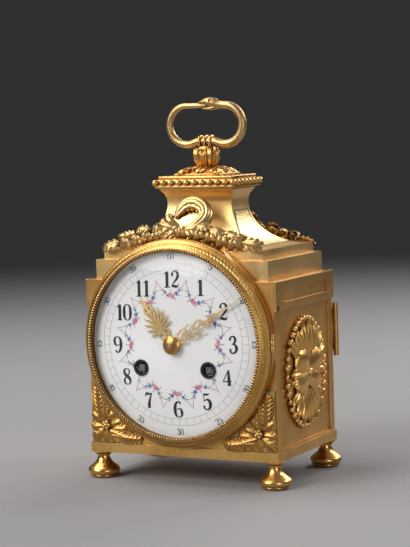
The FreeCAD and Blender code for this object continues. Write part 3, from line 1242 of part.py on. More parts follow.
def platform():
    """The platform's base, with the bridge over the escape wheel and lever, and the balance cock."""
    post_one = escape_axis - Vector(number(s.escape_radius + s.bridge_post_gap), 0, 0)
    post_two = lever_axis + Vector(0, 0, number(s.bridge_post_rise))
    margin, pivot_fit = number(s.platform_margin), number(s.balance_pivot) + play
    edge = number(s.platform_edge)
    lowest = min(escape_axis.z, balance_axis.z, cock_axis.z) - margin
    corner = Vector(post_one.x - edge, rear_high, lowest)
    far_x, far_z = balance_axis.x + edge, post_two.z + edge
    base = Part.makeBox(far_x - corner.x, platform_top - rear_high, far_z - corner.z, corner)
    base = base.common(rod(dial_axis, number(s.plate_radius), rear_high, platform_top))
    base = bored(base, [(escape_axis, number(s.escape_pass)), (balance_axis, pivot_fit)], rear_high, platform_top)
    bars = [(post_one, escape_axis), (escape_axis, lever_axis), (lever_axis, post_two)]
    bridge = joined([link_bar(a, b, number(s.bridge_width), bridge_low, bridge_high) for a, b in bars])
    bridge = bored(bridge, [(escape_axis, number(s.escape_pivot) + play)], bridge_low, bridge_high)
    posts = [rod(place_of, number(s.bridge_post), rear_high, bridge_high) for place_of in (post_one, post_two)]
    whole = joined([base, bridge] + posts)
    feature("platform", bored(whole, [(lever_axis, number(s.lever_pivot) + play)], rear_high, bridge_high))
    arm = link_bar(cock_axis, balance_axis, number(s.cock_width), cock_low, cock_high)
    arm = bored(arm, [(balance_axis, pivot_fit)], cock_low, cock_high)
    feature("balance_cock", joined([rod(cock_axis, number(s.cock_foot), platform_top, cock_high), arm]))


def bell_and_hammer():
    mouth = rear_plate_back + s.bell_standoff
    crown = mouth + s.bell_height
    radius, wall = s.bell_radius, s.bell_wall
    neck = s.post_neck + s.running_clearance
    node("bell", turned("bell", [
        (mouth, radius - wall), (mouth, radius, -(radius - wall)), (crown, s.bell_crown_radius), (crown, neck),
        (crown - wall, neck), (crown - wall, s.bell_crown_radius, radius - wall * 2),
    ], "y", (0, 0, axis_z)))
    top = number(crown)
    nut_top = top + number(s.nut_height)
    post = joined([rod(dial_axis, number(s.post_foot), rear_high, rear_high + number(s.post_foot_height)),
                   rod(dial_axis, number(s.post_radius), rear_high, top - number(wall)),
                   rod(dial_axis, number(s.post_neck), rear_high, top + number(s.post_lead))])
    nut = bored(rod(dial_axis, number(s.nut_radius), top, nut_top), [(dial_axis, number(neck))], top, nut_top)
    feature("bell_post", Part.makeCompound([post, nut]))
    reach = number(radius + s.hammer_gap + s.hammer_head)
    head_at = beyond(dial_axis, reach, number(s.hammer_angle))
    arm_low = number(mouth + s.hammer_arm_rise)
    arm_high = arm_low + number(s.hammer_arm_thickness)
    head = Part.makeSphere(number(s.hammer_head), head_at + Vector(0, (arm_low + arm_high) / 2, 0))
    tail_high = pin_low - overhang
    tail_low = tail_high - number(s.hammer_arm_thickness)
    tail = beyond(hammer_axis, number(s.hammer_tail), math.degrees(facing(hammer_axis, pin_axis)))
    feature("hammer", joined([
        rod(hammer_axis, pivot, front_low + inset, front_high + shake),
        rod(hammer_axis, rod_radius, front_high + shake, arm_high),
        link_bar(hammer_axis, head_at, number(s.hammer_arm), arm_low, arm_high), head,
        link_bar(hammer_axis, tail, number(s.hammer_tail_width), tail_low, tail_high),
    ]))


def leaf(length, width, thickness, base, direction, normal):
    """A leaf blank: two arcs from base to point, as thick as given along the normal."""
    across = normal.cross(direction)
    tip = base + direction * length
    belly = base + direction * (length * 0.45)
    edges = [Part.Arc(base, belly + across * (width / 2), tip), Part.Arc(tip, belly - across * (width / 2), base)]
    return Part.Face(Part.Wire([edge.toShape() for edge in edges])).extrude(normal * thickness)


def rosette(side, label):
    """An oval mount: bead border, two rows of leaves and a flower, with a stud through the side panel."""
    face = number(half_width) - number(s.field_depth)
    middle = Vector(face, 0, number(axis_z) - number(s.rosette_drop))
    half_y, half_z = number(s.rosette_half_depth), number(s.rosette_half_height)
    base, relief = number(s.rosette_base), number(s.rosette_relief)
    outward = Vector(1, 0, 0)
    edge = number(s.rosette_edge)
    oval = Part.Ellipse(middle + Vector(0, 0, half_z - edge), middle + Vector(0, half_y - edge, 0), middle)
    pieces = [Part.Face(Part.Wire([oval.toShape()])).extrude(outward * base)]
    count = int(number(s.rosette_beads))
    bead = number(s.rosette_bead_radius)
    for i in range(count):
        a = 2 * math.pi * i / count
        at = middle + Vector(base, (half_y - bead) * math.cos(a), (half_z - bead) * math.sin(a))
        pieces.append(Part.makeSphere(bead, at))
    petals = int(number(s.rosette_petals))
    for row, (reach, lift) in enumerate(((0.84, 0.36), (0.56, 0.66))):
        for i in range(petals):
            a = 2 * math.pi * (i + row / 2) / petals
            direction = Vector(0, math.cos(a), math.sin(a))
            length = reach / math.sqrt((math.cos(a) / half_y) ** 2 + (math.sin(a) / half_z) ** 2)
            pieces.append(leaf(length, length * 0.55, relief * lift, middle, direction, outward))
    pieces.append(Part.makeCylinder(number(s.rosette_heart), relief, middle, outward))
    stud = number(s.wall + s.nut_height)
    pieces.append(Part.makeCylinder(number(s.stem_radius), stud + base, middle - outward * stud, outward))
    shape = joined(pieces)
    feature(label, shape if side > 0 else shape.mirror(Vector(0, 0, 0), outward))


def corner_mount(side, label):
    """A triangular leaf mount in a lower front corner, hollowed to the curve of the ring."""
    y = -number(half_depth)
    x, z = (number(part) for part in corner_centre(1))
    thickness, inset_edge = number(s.corner_thickness), number(s.corner_inset)
    width, height = number(s.corner_reach) - inset_edge, number(s.corner_height)
    tallest = thickness + number(s.corner_flower_rise)
    low = Vector(number(half_width) - number(s.corner_reach), y - tallest, number(plinth_top) + inset_edge)
    front = Vector(0, -1, 0)
    flower = Vector(x, y, z)
    pieces = [Part.makeBox(width, thickness, height, low + Vector(0, tallest - thickness, 0)),
              Part.makeCylinder(number(s.corner_flower_radius), tallest, flower, front)]
    long_leaf, mid_leaf = number(s.corner_long_leaf), number(s.corner_mid_leaf)
    for angle, length in ((90, long_leaf), (180, long_leaf), (112, mid_leaf), (158, mid_leaf),
                          (135, number(s.corner_short_leaf))):
        direction = Vector(math.cos(math.radians(angle)), 0, math.sin(math.radians(angle)))
        pieces.append(leaf(length, length / 2, thickness + number(s.corner_leaf_rise), flower, direction, front))
    room = rod(dial_axis, number(s.seat_radius + s.corner_gap), y - tallest, y)
    bounds = Part.makeBox(width, tallest, height, low)
    body = max(joined(pieces).cut(room).common(bounds).Solids, key=lambda solid: solid.Volume)
    stud = Part.makeCylinder(number(s.stem_radius), number(s.wall + s.nut_height) + thickness,
                             flower + front * thickness, Vector(0, 1, 0))
    shape = joined([body, stud])
    feature(label, shape if side > 0 else shape.mirror(Vector(0, 0, 0), Vector(1, 0, 0)))


def mount_nuts():
    made = []
    bore, radius, height = number(s.stem_radius) + play, number(s.nut_radius), number(s.nut_height)

    def nut(base, direction):
        ring = Part.makeCylinder(radius, height, base, direction)
        made.append(ring.cut(Part.makeCylinder(bore, height * 3, base - direction * height, direction)))

    level = number(axis_z) - number(s.rosette_drop)
    for side in (-1, 1):
        x, z = (number(part) for part in corner_centre(side))
        nut(Vector(number(inner_width) * side, 0, level), Vector(-side, 0, 0))
        nut(Vector(x, -number(inner_depth), z), Vector(0, 1, 0))
    nut(Vector(0, 0, number(roof_top) - number(s.flue_floor)), Vector(0, 0, -1))
    feature("mount_nuts", Part.makeCompound(made))


def garland(back, label):
    """Two leaf sprays that lie on the arch and the upper step, with a curled leaf between them."""
    depth, step_depth = number(half_depth), number(s.step_two_depth)
    crest = number(axis_z + s.seat_radius)
    stem = number(s.branch_radius)
    front = Vector(0, -1, 0)
    height = crest + stem + number(s.spray_lift)
    start = Vector(number(s.spray_start), number(s.leaf_thickness) / 2 - depth, height)
    end = Vector(number(s.spray_reach), -(step_depth + number(s.leaf_thickness)) / 2, number(roof_base) + stem)
    count = int(number(s.spray_leaves))
    length, width = number(s.leaf_length), number(s.leaf_width)
    pieces = [Part.makeCylinder(stem, 2 * start.x, Vector(-start.x, start.y, start.z), Vector(1, 0, 0))]
    for side in (-1, 1):
        first = Vector(start.x * side, start.y, start.z)
        run = Vector(end.x * side, end.y, end.z) - first
        pieces.append(Part.makeCylinder(stem, run.Length, first, run))
        slope = math.degrees(math.atan2(run.z, abs(run.x)))
        for i in range(count):
            base = first + run * (i / (count + 1)) - front * (number(s.leaf_thickness) / 2)
            for tilt, share in ((-38, 0.75), (0, 1.0), (42, 0.75)):
                angle = math.radians(slope + tilt)
                direction = Vector(side * math.cos(angle), 0, math.sin(angle))
                pieces.append(leaf(length * share, width, number(s.leaf_thickness), base, direction, front))
    tube, radius = number(s.scroll_tube), number(s.scroll_radius)
    middle = Vector(number(s.scroll_offset), number(s.scroll_setback) - step_depth / 2, crest + radius + tube)
    pieces.append(Part.makeTorus(radius, tube, middle, Vector(0, 1, 0)))
    pieces.append(Part.makeCylinder(number(s.scroll_stem), middle.y - start.y, Vector(middle.x, start.y, start.z),
                                    Vector(0, 1, 0)))
    arch = rod(dial_axis, number(s.seat_radius + s.garland_gap), -2 * depth, 0)
    wide, tall = number(s.step_two_width), number(s.step_one_height + s.step_two_height)
    steps = Part.makeBox(wide, step_depth, tall, Vector(-wide / 2, -step_depth / 2, number(case_top)))
    shape = max(joined(pieces).cut([arch, steps]).Solids, key=lambda solid: solid.Volume)
    feature(label, shape if not back else shape.mirror(Vector(0, 0, 0), Vector(0, 1, 0)))


plinth()
feet()
tie_rods()
front_panel()
rear_panel()
side_panel(-1, "side_panel_left")
side_panel(1, "side_panel_right")
roof()
cornice()
leaf_plate()
handle_socket()
snake_handle()
front_ring()
bezel()
bezel_glass()
dial()
rear_door()
door_knob()
hinge_pins()
plates()
pillars()
movement_fixings()
barrel("going", going_axis, second_axis)
barrel("strike", strike_axis, strike_second_axis)
winding_arbor("going", going_axis)
winding_arbor("strike", strike_axis)
click("going", going_axis, 1)
click("strike", strike_axis, -1)
going_train()
strike_train()
motion_work()
hands()
escape_wheel()
pallet_lever()
balance()
platform()
bell_and_hammer()
rosette(-1, "rosette_left")
rosette(1, "rosette_right")
corner_mount(-1, "corner_mount_left")
corner_mount(1, "corner_mount_right")
mount_nuts()
garland(False, "front_garland")
garland(True, "rear_garland")

doc.recompute()
for obj in doc.Objects:
    if "Invalid" in obj.State or "Error" in obj.State:
        raise RuntimeError(f"{obj.Label}: {obj.State}")
os.makedirs("parts", exist_ok=True)
for label, obj in nodes.items():
    shape = obj.Shape
    if shape.isNull() or not shape.isValid():
        raise RuntimeError(f"{label} has no valid shape")
    shape.exportStep(f"parts/{label}.step")
    box_of = shape.BoundBox
    low = [round(v, 1) for v in (box_of.XMin, box_of.YMin, box_of.ZMin)]
    high = [round(v, 1) for v in (box_of.XMax, box_of.YMax, box_of.ZMax)]
    print(label, len(shape.Solids), "solids", round(shape.Volume, 1), "mm3", low, high)
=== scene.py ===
import json
import math
import random

import bpy
from mathutils import Matrix, Vector


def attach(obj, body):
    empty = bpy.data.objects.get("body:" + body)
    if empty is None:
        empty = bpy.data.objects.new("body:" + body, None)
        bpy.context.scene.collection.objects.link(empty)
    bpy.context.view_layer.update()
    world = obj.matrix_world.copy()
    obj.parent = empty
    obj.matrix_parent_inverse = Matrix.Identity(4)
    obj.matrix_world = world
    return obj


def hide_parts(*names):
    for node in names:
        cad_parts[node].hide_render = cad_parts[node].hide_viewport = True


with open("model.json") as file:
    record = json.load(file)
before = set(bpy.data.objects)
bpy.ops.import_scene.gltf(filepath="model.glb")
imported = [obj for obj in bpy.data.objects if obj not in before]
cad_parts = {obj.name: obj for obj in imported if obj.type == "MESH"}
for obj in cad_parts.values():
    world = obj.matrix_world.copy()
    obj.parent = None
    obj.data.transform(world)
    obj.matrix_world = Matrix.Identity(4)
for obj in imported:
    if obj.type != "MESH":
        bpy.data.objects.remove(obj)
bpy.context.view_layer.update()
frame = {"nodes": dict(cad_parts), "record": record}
random.seed(7)
mm = 0.001
print("frame loaded:", len(frame["nodes"]), "nodes")


class Wire:
    # one socket of a material's nodes; + - * and ** on it add Math nodes

    def __init__(self, tree, socket=None):
        self.tree = tree
        self.socket = socket

    def node(self, kind, settings, links, output=0):
        made = self.tree.nodes.new(kind)
        for key, value in settings.items():
            setattr(made, key, value)
        for key, value in links.items():
            if isinstance(value, Wire):
                self.tree.links.new(value.socket, made.inputs[key])
            else:
                made.inputs[key].default_value = value
        return Wire(self.tree, made.outputs[output])

    def into(self, socket):
        self.tree.links.new(self.socket, socket)

    def maths(self, operation, first, second):
        return self.node("ShaderNodeMath", {"operation": operation}, {0: first, 1: second})

    def __add__(self, other):
        return self.maths("ADD", self, other)

    def __radd__(self, other):
        return self.maths("ADD", other, self)

    def __sub__(self, other):
        return self.maths("SUBTRACT", self, other)

    def __rsub__(self, other):
        return self.maths("SUBTRACT", other, self)

    def __mul__(self, other):
        return self.maths("MULTIPLY", self, other)

    def __rmul__(self, other):
        return self.maths("MULTIPLY", other, self)

    def __pow__(self, other):
        return self.maths("POWER", self, other)

    def clamped(self, low, high):
        spread = {"Value": self, "From Min": low, "From Max": high}
        return self.node("ShaderNodeMapRange", {"interpolation_type": "SMOOTHSTEP"}, spread)

    def noise(self, where, scale, detail=3.0, roughness=0.55):
        return self.node("ShaderNodeTexNoise", {}, {"Vector": where, "Scale": scale, "Detail": detail,
                                                    "Roughness": roughness})

    def mixed(self, share, first, second):
        return self.node("ShaderNodeMix", {"data_type": "RGBA"}, {0: share, 6: first, 7: second}, 2)

    def bumped(self, shader, strength, distance):
        links = {"Height": self, "Strength": strength, "Distance": distance}
        self.node("ShaderNodeBump", {}, links).into(shader.inputs["Normal"])

    def shown(self, share, first, second):
        surface = self.node("ShaderNodeMixShader", {}, {0: share, 1: first, 2: second})
        surface.into(self.tree.nodes["Material Output"].inputs["Surface"])


def newFinish(name):
    material = bpy.data.materials.new(name)
    material.use_nodes = True
    shader = material.node_tree.nodes["Principled BSDF"]
    start = Wire(material.node_tree)
    where = start.node("ShaderNodeTexCoord", {}, {}, "Object")
    return material, shader, start, where


# gilding
# each tone set's darkest tone is the painted shade laid into the hollows
giltTones = {
    "bright": (0.77, 0.445, 0.135, 1), "deep": (0.56, 0.285, 0.066, 1), "shadeTone": (0.16, 0.070, 0.016, 1),
    "wornAndHighlit": (0.92, 0.64, 0.27, 1),
}
# a paler, brighter copy of the gilding for the roof: painted light for the strongly lit roof
litRoofTones = {
    "bright": (0.88, 0.595, 0.245, 1), "deep": (0.74, 0.465, 0.170, 1), "shadeTone": (0.22, 0.105, 0.028, 1),
    "wornAndHighlit": (0.94, 0.70, 0.35, 1),
}
# a brighter copy of the gilding for the side rosettes: painted light for their highlights
litRosetteTones = {
    "bright": (0.92, 0.545, 0.175, 1), "deep": (0.76, 0.410, 0.110, 1), "shadeTone": (0.16, 0.070, 0.016, 1),
    "wornAndHighlit": (0.94, 0.67, 0.30, 1),
}
# a darker copy of the gilding for the corner mounts: painted shade
shadedTones = {
    "bright": (0.52, 0.280, 0.075, 1), "deep": (0.35, 0.170, 0.040, 1), "shadeTone": (0.06, 0.025, 0.006, 1),
    "wornAndHighlit": (0.88, 0.59, 0.23, 1),
}
# a darker copy of the gilding for the garlands and the snake: painted shade
shadedLeafTones = {
    "bright": (0.58, 0.385, 0.155, 1), "deep": (0.40, 0.235, 0.082, 1), "shadeTone": (0.07, 0.034, 0.010, 1),
    "wornAndHighlit": (0.90, 0.68, 0.36, 1),
}
paleTones = {
    "bright": (0.88, 0.64, 0.30, 1), "deep": (0.72, 0.47, 0.18, 1), "shadeTone": (0.24, 0.12, 0.035, 1),
    "wornAndHighlit": (0.95, 0.76, 0.44, 1),
}


def gilding(name, rough, grain, cloud=45.0, recessReach=0.003, rubbingAndHighlight=0.6, hammer=0.0, tones=giltTones):
    # fire gilding: clouded colour, painted shade in the hollows, and paler edges that stand both for rubbing
    # by hands and for painted highlight
    material, shader, start, where = newFinish(name)
    clouds = start.noise(where, cloud, 4.0)
    flecks = start.noise(where, 1400.0, 2.0)
    streaks = start.noise(where, 260.0, 5.0, 0.65)
    hollow = start.node("ShaderNodeAmbientOcclusion", {"samples": 6, "only_local": False},
                        {"Distance": recessReach}, "AO")
    edge = start.node("ShaderNodeNewGeometry", {}, {}, "Pointiness")
    # edges found by pointiness turn paler: rubbed gilding, and also painted highlight on beads and edges
    rubbedAndHighlit = edge.clamped(0.52, 0.62) * streaks.clamped(0.35, 0.6)
    # painted shade: hollows found by ambient occlusion are darkened towards the darkest tone and made rougher
    paintedShade = (1 - hollow.clamped(0.1, 0.85)) * (0.55 + 0.45 * streaks)
    colour = start.mixed(clouds.clamped(0.3, 0.72), tones["deep"], tones["bright"])
    colour = start.mixed(0.18 * flecks.clamped(0.35, 0.65), colour, tones["wornAndHighlit"])
    colour = start.mixed(rubbingAndHighlight * rubbedAndHighlit, colour, tones["wornAndHighlit"])
    colour = start.mixed(0.85 * paintedShade, colour, tones["shadeTone"])
    colour.into(shader.inputs["Base Color"])
    shader.inputs["Metallic"].default_value = 1.0
    roughness = rough + 0.10 * (clouds - 0.5) + 0.12 * (streaks - 0.5) + 0.16 * paintedShade - 0.1 * rubbedAndHighlit
    roughness.into(shader.inputs["Roughness"])
    height = flecks * 0.6 + streaks * 0.4
    if hammer > 0:
        cells = start.node("ShaderNodeTexVoronoi", {"feature": "SMOOTH_F1"},
                           {"Vector": where, "Scale": hammer})
        height = height * 0.25 + cells
    height.bumped(shader, grain, 0.0002)
    return material


giltSatin = gilding("giltSatin", 0.40, 0.14, rubbingAndHighlight=0.3)
giltLitRoof = gilding("giltLitRoof", 0.42, 0.14, rubbingAndHighlight=0.3, tones=litRoofTones)
giltCast = gilding("giltCast", 0.34, 0.22, 70.0, 0.0022, 0.9)
giltLitRosette = gilding("giltLitRosette", 0.36, 0.20, 70.0, 0.0015, 0.9, tones=litRosetteTones)
giltMatte = gilding("giltMatte", 0.40, 0.25, 80.0, 0.0030, 0.8, tones=shadedLeafTones)
giltShaded = gilding("giltShaded", 0.42, 0.30, 110.0, 0.0026, tones=shadedTones)
giltBurnished = gilding("giltBurnished", 0.28, 0.06)
giltEngraved = gilding("giltEngraved", 0.33, 0.10, 60.0, 0.0007)
giltStippled = gilding("giltStippled", 0.38, 1.0, 60.0, 0.003, 0.3, 850.0, paleTones)
giltHand = gilding("giltHand", 0.44, 0.10, 90.0, 0.0005, tones=paleTones)


def turnedMetal(name, pale, dull, rough, metalGrain):
    # plate and wheel metal: fine lines left by the file and the lathe
    material, shader, start, where = newFinish(name)
    lined = start.node("ShaderNodeMapping", {}, {"Vector": where, "Scale": (60.0, 60.0, 1600.0)})
    lines = start.noise(lined, 1.0, 3.0)
    spots = start.noise(where, 180.0, 4.0)
    start.mixed(spots.clamped(0.3, 0.7), dull, pale).into(shader.inputs["Base Color"])
    shader.inputs["Metallic"].default_value = 1.0
    (rough + 0.14 * (lines - 0.5) + 0.12 * (spots - 0.5)).into(shader.inputs["Roughness"])
    lines.bumped(shader, metalGrain, 0.0001)
    return material


movementBrass = turnedMetal("movementBrass", (0.80, 0.60, 0.26, 1), (0.62, 0.42, 0.15, 1), 0.3, 0.15)
bellBronze = turnedMetal("bellBronze", (0.78, 0.66, 0.42, 1), (0.58, 0.46, 0.26, 1), 0.24, 0.1)
blueSteel = turnedMetal("blueSteel", (0.34, 0.36, 0.40, 1), (0.20, 0.21, 0.25, 1), 0.26, 0.12)


def firedEnamel(name):
    # white enamel: a trace of cream and grey in the firing, a glassy skin with faint waves
    material, shader, start, where = newFinish(name)
    fired = start.noise(where, 28.0, 4.0)
    specks = start.noise(where, 900.0, 2.0)
    tone = start.mixed(fired.clamped(0.3, 0.75), (0.80, 0.80, 0.79, 1), (0.87, 0.865, 0.85, 1))
    tone = start.mixed(0.5 * specks.clamped(0.74, 0.82), tone, (0.55, 0.53, 0.50, 1))
    tone.into(shader.inputs["Base Color"])
    (0.12 + 0.08 * (fired - 0.5)).into(shader.inputs["Roughness"])
    shader.inputs["Coat Weight"].default_value = 0.4
    shader.inputs["Coat Roughness"].default_value = 0.05
    fired.bumped(shader, 0.04, 0.0004)
    return material


def paint(name, colour, second, rough=0.32):
    # enamel paint laid on by brush: thin and thick places
    material, shader, start, where = newFinish(name)
    strokes = start.noise(where, 900.0, 3.0)
    start.mixed(strokes.clamped(0.32, 0.68), colour, second).into(shader.inputs["Base Color"])
    (rough + 0.1 * (strokes - 0.5)).into(shader.inputs["Roughness"])
    return material


def thinGlass(name):
    material, shader, start, where = newFinish(name)
    smears = start.noise(where, 55.0, 4.0)
    shader.inputs["Base Color"].default_value = (0.95, 0.97, 0.96, 1)
    shader.inputs["Metallic"].default_value = 1.0
    (0.02 + 0.05 * smears.clamped(0.45, 0.75)).into(shader.inputs["Roughness"])
    clear = start.node("ShaderNodeBsdfTransparent", {}, {"Color": (1.0, 1.0, 1.0, 1)})
    gleam = 0.008 + 0.4 * start.node("ShaderNodeLayerWeight", {}, {"Blend": 0.5}, "Facing") ** 4.0
    start.shown(gleam, clear, Wire(start.tree, shader.outputs[0]))
    return material


whiteEnamel = firedEnamel("whiteEnamel")
numeralInk = paint("numeralInk", (0.012, 0.012, 0.014, 1), (0.04, 0.038, 0.036, 1))
trackInk = paint("trackInk", (0.30, 0.29, 0.285, 1), (0.42, 0.41, 0.40, 1))
minuteInk = paint("minuteInk", (0.10, 0.098, 0.095, 1), (0.17, 0.165, 0.16, 1))
rosePaint = paint("rosePaint", (0.47, 0.12, 0.19, 1), (0.74, 0.40, 0.46, 1))
bluePaint = paint("bluePaint", (0.05, 0.11, 0.34, 1), (0.16, 0.26, 0.52, 1))
leafPaint = paint("leafPaint", (0.15, 0.24, 0.17, 1), (0.30, 0.38, 0.28, 1))
ribbonPaint = paint("ribbonPaint", (0.40, 0.16, 0.27, 1), (0.60, 0.34, 0.44, 1))
holeBlack = paint("holeBlack", (0.008, 0.008, 0.009, 1), (0.02, 0.02, 0.021, 1), 0.25)
# dark brown paint that stands in for the shade inside grooves
grooveShadePaint = paint("grooveShadePaint", (0.030, 0.014, 0.005, 1), (0.065, 0.032, 0.010, 1), 0.6)
clearGlass = thinGlass("clearGlass")
print("finishes ready")


def clearSelection():
    if bpy.context.object and bpy.context.object.mode != "OBJECT":
        bpy.ops.object.mode_set(mode="OBJECT")
    bpy.ops.object.select_all(action="DESELECT")


def take(piece):
    clearSelection()
    piece.select_set(True)
    bpy.context.view_layer.objects.active = piece
    return piece


def editAll():
    bpy.ops.object.mode_set(mode="EDIT")
    bpy.ops.mesh.select_all(action="SELECT")


def leaveEdit():
    bpy.ops.object.mode_set(mode="OBJECT")


def stretched(amounts):
    # the piece just added, drawn out along its axes
    editAll()
    bpy.ops.transform.resize(value=amounts)
    leaveEdit()
    return bpy.context.object


def newSheet(columns, rows):
    # a flat sheet from -1 to 1 each way, to be shaped corner by corner
    clearSelection()
    bpy.ops.mesh.primitive_grid_add(x_subdivisions=columns, y_subdivisions=rows, size=2)
    return bpy.context.object


def stepOf(place, count):
    # which of a sheet's steps lies at a place between -1 and 1
    return round((place + 1) / 2 * count)


def applyModifiers(piece):
    take(piece)
    for modifier in list(piece.modifiers):
        bpy.ops.object.modifier_apply(modifier=modifier.name)


def thickened(piece, thick, offset):
    wall = piece.modifiers.new("wall", "SOLIDIFY")
    wall.thickness = thick * mm
    wall.offset = offset
    applyModifiers(piece)


def easedEdges(piece, width, segments, angle=30):
    ease = piece.modifiers.new("ease", "BEVEL")
    ease.width = width * mm
    ease.segments = segments
    ease.limit_method = "ANGLE"
    ease.angle_limit = math.radians(angle)
    applyModifiers(piece)


def tidyMesh(piece, angle=38, merge=0.000002):
    take(piece)
    editAll()
    bpy.ops.mesh.remove_doubles(threshold=merge)
    bpy.ops.mesh.normals_make_consistent(inside=False)
    leaveEdit()
    bpy.ops.object.shade_smooth_by_angle(angle=math.radians(angle))


def gathered(pieces):
    clearSelection()
    for piece in pieces:
        piece.select_set(True)
    bpy.context.view_layer.objects.active = pieces[0]
    if len(pieces) > 1:
        bpy.ops.object.join()
    return bpy.context.view_layer.objects.active


def finished(piece, name, finish, body, nodes=()):
    take(piece)
    bpy.ops.object.transform_apply(location=True, rotation=True, scale=True)
    piece.name = name
    piece.data.name = name
    piece.data.materials.clear()
    piece.data.materials.append(finish)
    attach(piece, body)
    if nodes:
        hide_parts(*nodes)
    return piece


def profileSpot(axis, radius, along):
    return Vector({"Z": (radius, 0, along), "Y": (radius, along, 0), "X": (along, radius, 0)}[axis]) * mm


def turned(profile, steps, axis="Z", centre=(0, 0, 0)):
    # an edge drawn out point by point, (radius, along) in millimetres, then spun round its axis
    middle = Vector(centre) * mm
    spots = [profileSpot(axis, radius, along) for radius, along in profile]
    clearSelection()
    bpy.ops.mesh.primitive_plane_add(size=0.001)
    piece = bpy.context.object
    editAll()
    bpy.ops.mesh.merge(type="CENTER")
    bpy.ops.transform.translate(value=middle + spots[0])
    for before, after in zip(spots, spots[1:]):
        bpy.ops.mesh.extrude_region_move(TRANSFORM_OT_translate={"value": after - before})
    bpy.ops.mesh.select_all(action="SELECT")
    turn = {"Z": (0, 0, 1), "Y": (0, 1, 0), "X": (1, 0, 0)}[axis]
    bpy.ops.mesh.spin(steps=steps, angle=2 * math.pi, center=middle, axis=turn)
    leaveEdit()
    tidyMesh(piece)
    return piece


def arcPoints(centre, radius, start, end, count):
    # points of a round part of a profile
    points = []
    for i in range(count + 1):
        angle = math.radians(start + (end - start) * i / count)
        points.append((centre[0] + radius * math.cos(angle), centre[1] + radius * math.sin(angle)))
    return points


def readOff(values, share):
    # a value between those of an evenly spaced list; share runs from 0 to 1
    place = share * (len(values) - 1)
    first = min(int(place), len(values) - 2)
    return values[first] + (values[first + 1] - values[first]) * (place - first)


def copied(pattern, matrix):
    piece = bpy.data.objects.new(pattern.name, pattern.data.copy())
    piece.data.transform(matrix)
    bpy.context.scene.collection.objects.link(piece)
    return piece


def placed(pattern, root, along, face, size=1.0, flat=1.0):
    # a copy of a leaf, bead or petal: where its root is, where it points, which way it faces
    x = Vector(along).normalized()
    y = Vector(face).cross(x).normalized()
    turn = Matrix((x, y, x.cross(y))).transposed().to_4x4()
    grow = Matrix.Diagonal((size, size, size * flat, 1))
    return copied(pattern, Matrix.Translation(Vector(root) * mm) @ turn @ grow)


def dropPatterns(*patterns):
    for pattern in patterns:
        bpy.data.objects.remove(pattern, do_unlink=True)


def softEdged(node, finish, body, width=0.35, angle=32):
    # the case piece with its arrises eased, as filing and handling leave them
    source = frame["nodes"][node]
    piece = copied(source, source.matrix_world)
    take(piece)
    editAll()
    bpy.ops.mesh.remove_doubles(threshold=0.000003)
    bpy.ops.mesh.dissolve_limited(angle_limit=math.radians(1.0))
    leaveEdit()
    easedEdges(piece, width, 2, angle)
    bpy.ops.object.shade_smooth_by_angle(angle=math.radians(28))
    flat = piece.modifiers.new("flat", "WEIGHTED_NORMAL")
    flat.weight = 100
    flat.keep_sharp = True
    applyModifiers(piece)
    return finished(piece, node + "Eased", finish, body, [node])


# case plates and plain turned pieces keep the shape of their node
casePlates = {
    "plinth": (giltSatin, 0.45), "front_panel": (giltSatin, 0.3), "rear_panel": (giltSatin, 0.3),
    "side_panel_left": (giltSatin, 0.6), "side_panel_right": (giltSatin, 0.6), "roof": (giltLitRoof, 0.4),
    "front_ring": (giltSatin, 0.3),
}
for node, (finish, width) in casePlates.items():
    softEdged(node, finish, "case", width)
softEdged("rear_door", giltSatin, "door_leaf", 0.3)
softEdged("door_knob", giltBurnished, "door_button", 0.25)
print("case plates eased")

# every other node keeps its shape and gets the finish of its slot
slotFinish = {
    "gilt_bronze": giltSatin, "gilt_hand": giltHand, "movement_brass": movementBrass,
    "bell_metal": bellBronze, "steel": blueSteel, "enamel": whiteEnamel, "glass": clearGlass,
}
for part in frame["record"]["subparts"]:
    for place in frame["nodes"][part["node"]].material_slots:
        place.material = slotFinish[part["material_slot"]]
frame["nodes"]["hand_boss"].material_slots[0].material = giltBurnished
print("slots dressed")

# turned feet
foot = {
    "spread": (50.1, 31.8), "steps": 40,
    "profile": [(0, 0), (6.2, 0), (6.7, 0.2), (7.0, 0.6), (7.1, 1.1), (7.0, 1.3), (7.6, 1.7), (8.2, 2.4),
                (8.5, 3.2), (8.5, 3.9), (8.2, 4.6), (7.6, 5.2), (6.9, 5.7), (6.2, 6.3), (5.0, 7.2),
                (4.1, 8.3), (3.5, 9.5), (3.2, 10.6), (3.15, 11.3), (3.6, 11.5), (3.9, 11.8),
                (3.9, 12.1), (3.5, 12.4), (4.6, 12.7), (5.2, 13.1), (5.4, 13.5), (5.4, 13.8), (1.5, 13.8),
                (1.5, 17.6), (0, 17.6)],
}


def makeFeet():
    one = turned(foot["profile"], foot["steps"])
    x, y = foot["spread"]
    feet = [copied(one, Matrix.Translation(Vector((x * i, y * j, 0)) * mm)) for i in (-1, 1) for j in (-1, 1)]
    dropPatterns(one)
    finished(gathered(feet), "turnedFeet", giltBurnished, "case", ["feet"])


makeFeet()
print("feet turned")

# cast leaves: root at the origin, tip along X, face up Z, sizes in millimetres
# the vine leaf is palmate: rounded fingers spread about the root
vineLeaf = {
    "length": 12.0, "along": 30, "across": 72, "lobes": 3, "teeth": 9, "spread": 92, "shorter": 0.22,
    "notch": 0.26, "bite": 0.09, "dome": 1.9, "droop": 2.8, "flute": 0.75, "crease": 0.20, "vein": 0.45,
    "thick": 1.0,
}
